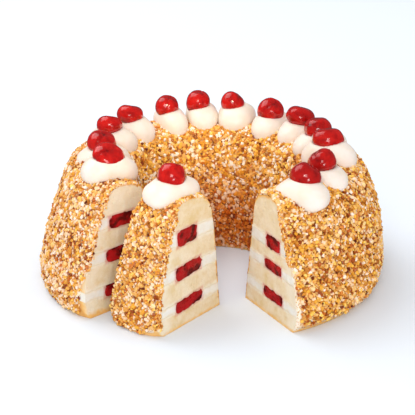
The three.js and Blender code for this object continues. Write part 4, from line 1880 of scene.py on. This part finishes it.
@dataclass(frozen=True)
class Studio:
    """Pale floor, soft light and the camera."""

    floor_half: float = 6000.0
    floor_points: int = 9
    focal_px: float = 1800.0
    image_px: float = 415.0
    sensor: float = 36.0
    clip_end: float = 50.0
    elevation: float = 21.76
    distance: float = 1310.4
    look_at: Triple = (-3.39, AXIS_Y, 51.75)
    surround: float = 0.85
    mirrored: float = 0.1

    def build_floor(self) -> None:
        """Makes the floor: a flat grid that the part stands on."""
        line = np.linspace(-self.floor_half, self.floor_half, self.floor_points)
        places = np.stack(np.meshgrid(line, line, [0.0], indexing="ij"), axis=-1).reshape(-1, 3)
        quads = grid_quads(self.floor_points, self.floor_points).reshape(-1, 4)
        floor = new_piece("studio_floor", places, [quads], {})
        floor.data.materials.append(FloorFinish().material())
        floor.visible_glossy = False

    def build_world(self) -> None:
        """Sets an even white surround, of which glossy skins mirror less than its light would give."""
        world = bpy.data.worlds.new("studio_white")
        world.use_nodes = True
        tree = world.node_tree
        background = tree.nodes["Background"]
        background.inputs["Color"].default_value = (1.0, 1.0, 1.0, 1.0)
        ray = tree.nodes.new("ShaderNodeLightPath")
        light = tree.nodes.new("ShaderNodeMapRange")
        light.inputs["To Min"].default_value = self.surround
        light.inputs["To Max"].default_value = self.mirrored
        tree.links.new(ray.outputs["Is Glossy Ray"], light.inputs["Value"])
        tree.links.new(light.outputs["Result"], background.inputs["Strength"])
        bpy.context.scene.world = world

    def build_camera(self) -> None:
        """Adds the camera at the picture's own angle."""
        data = bpy.data.cameras.new("camera")
        data.sensor_width = self.sensor
        data.lens = self.focal_px * self.sensor / self.image_px
        data.clip_end = self.clip_end
        camera = bpy.data.objects.new("camera", data)
        rise = math.radians(self.elevation)
        back = np.array([0.0, -math.cos(rise), math.sin(rise)])
        camera.location = (np.array(self.look_at) + back * self.distance) * MM
        camera.rotation_euler = (math.pi / 2 - rise, 0.0, 0.0)
        bpy.context.scene.collection.objects.link(camera)
        bpy.context.scene.camera = camera

    def build(self) -> None:
        """Sets up the whole studio."""
        self.build_camera()
        self.build_floor()
        self.build_world()
        for lamp in LAMPS:
            lamp.build()
        bpy.context.scene.view_settings.view_transform = "Standard"


def main() -> None:
    """Builds the studio and every piece in order."""
    logging.basicConfig(level=logging.INFO, format="%(message)s")
    Studio().build()
    sponge, cream = SpongeFinish().material(), CreamFinish().material()
    filling, piped = FillingFinish().material(), DollopFinish().material()
    bed, skin = UndercoatFinish().material(), CherryFinish().material()
    brittle = {kind: finish.material() for kind, finish in BRITTLE_FINISHES.items()}
    ring_layers = LayerStack(RING, (RIGHT_CUT, LEFT_CUT), 100)
    slice_layers = LayerStack(SLICE, (SLICE_CUT, SLICE_CUT), 200)
    for stack in (ring_layers, slice_layers):
        stack.build(sponge, cream, filling)
    on_ring, on_slice = ring_toppings(), [slice_topping()]
    ring_coat = BrittleCoat(
        RING, on_ring, golden=0.0, chips=22500, edge_chips=5000, seed=300,
        feet=((0.0, 5.5), (0.2, 4.5), (0.3, 0.0), (0.94, 0.0), (1.0, 6.0)),
        strips=((5.0, 54.0), (9.0, 38.0)), heaps=((0.0, 4.5), (-2.2, 2.0)))
    slice_coat = BrittleCoat(
        SLICE, on_slice, golden=0.75, chips=1950, edge_chips=4500, seed=400,
        feet=((0.0, 0.0), (0.66, 0.0), (0.9, 6.0)),
        strips=((0.5, 1.0), (0.5, 1.0)), heaps=((0.0, 4.0), (0.8, 4.6)))
    for coat in (ring_coat, slice_coat):
        coat.build_bed(bed)
        coat.build_chips(brittle)
    for topping in on_ring + on_slice:
        topping.build_dollop(piped)
        topping.build_cherry(skin)


if __name__ == "__main__":
    main()
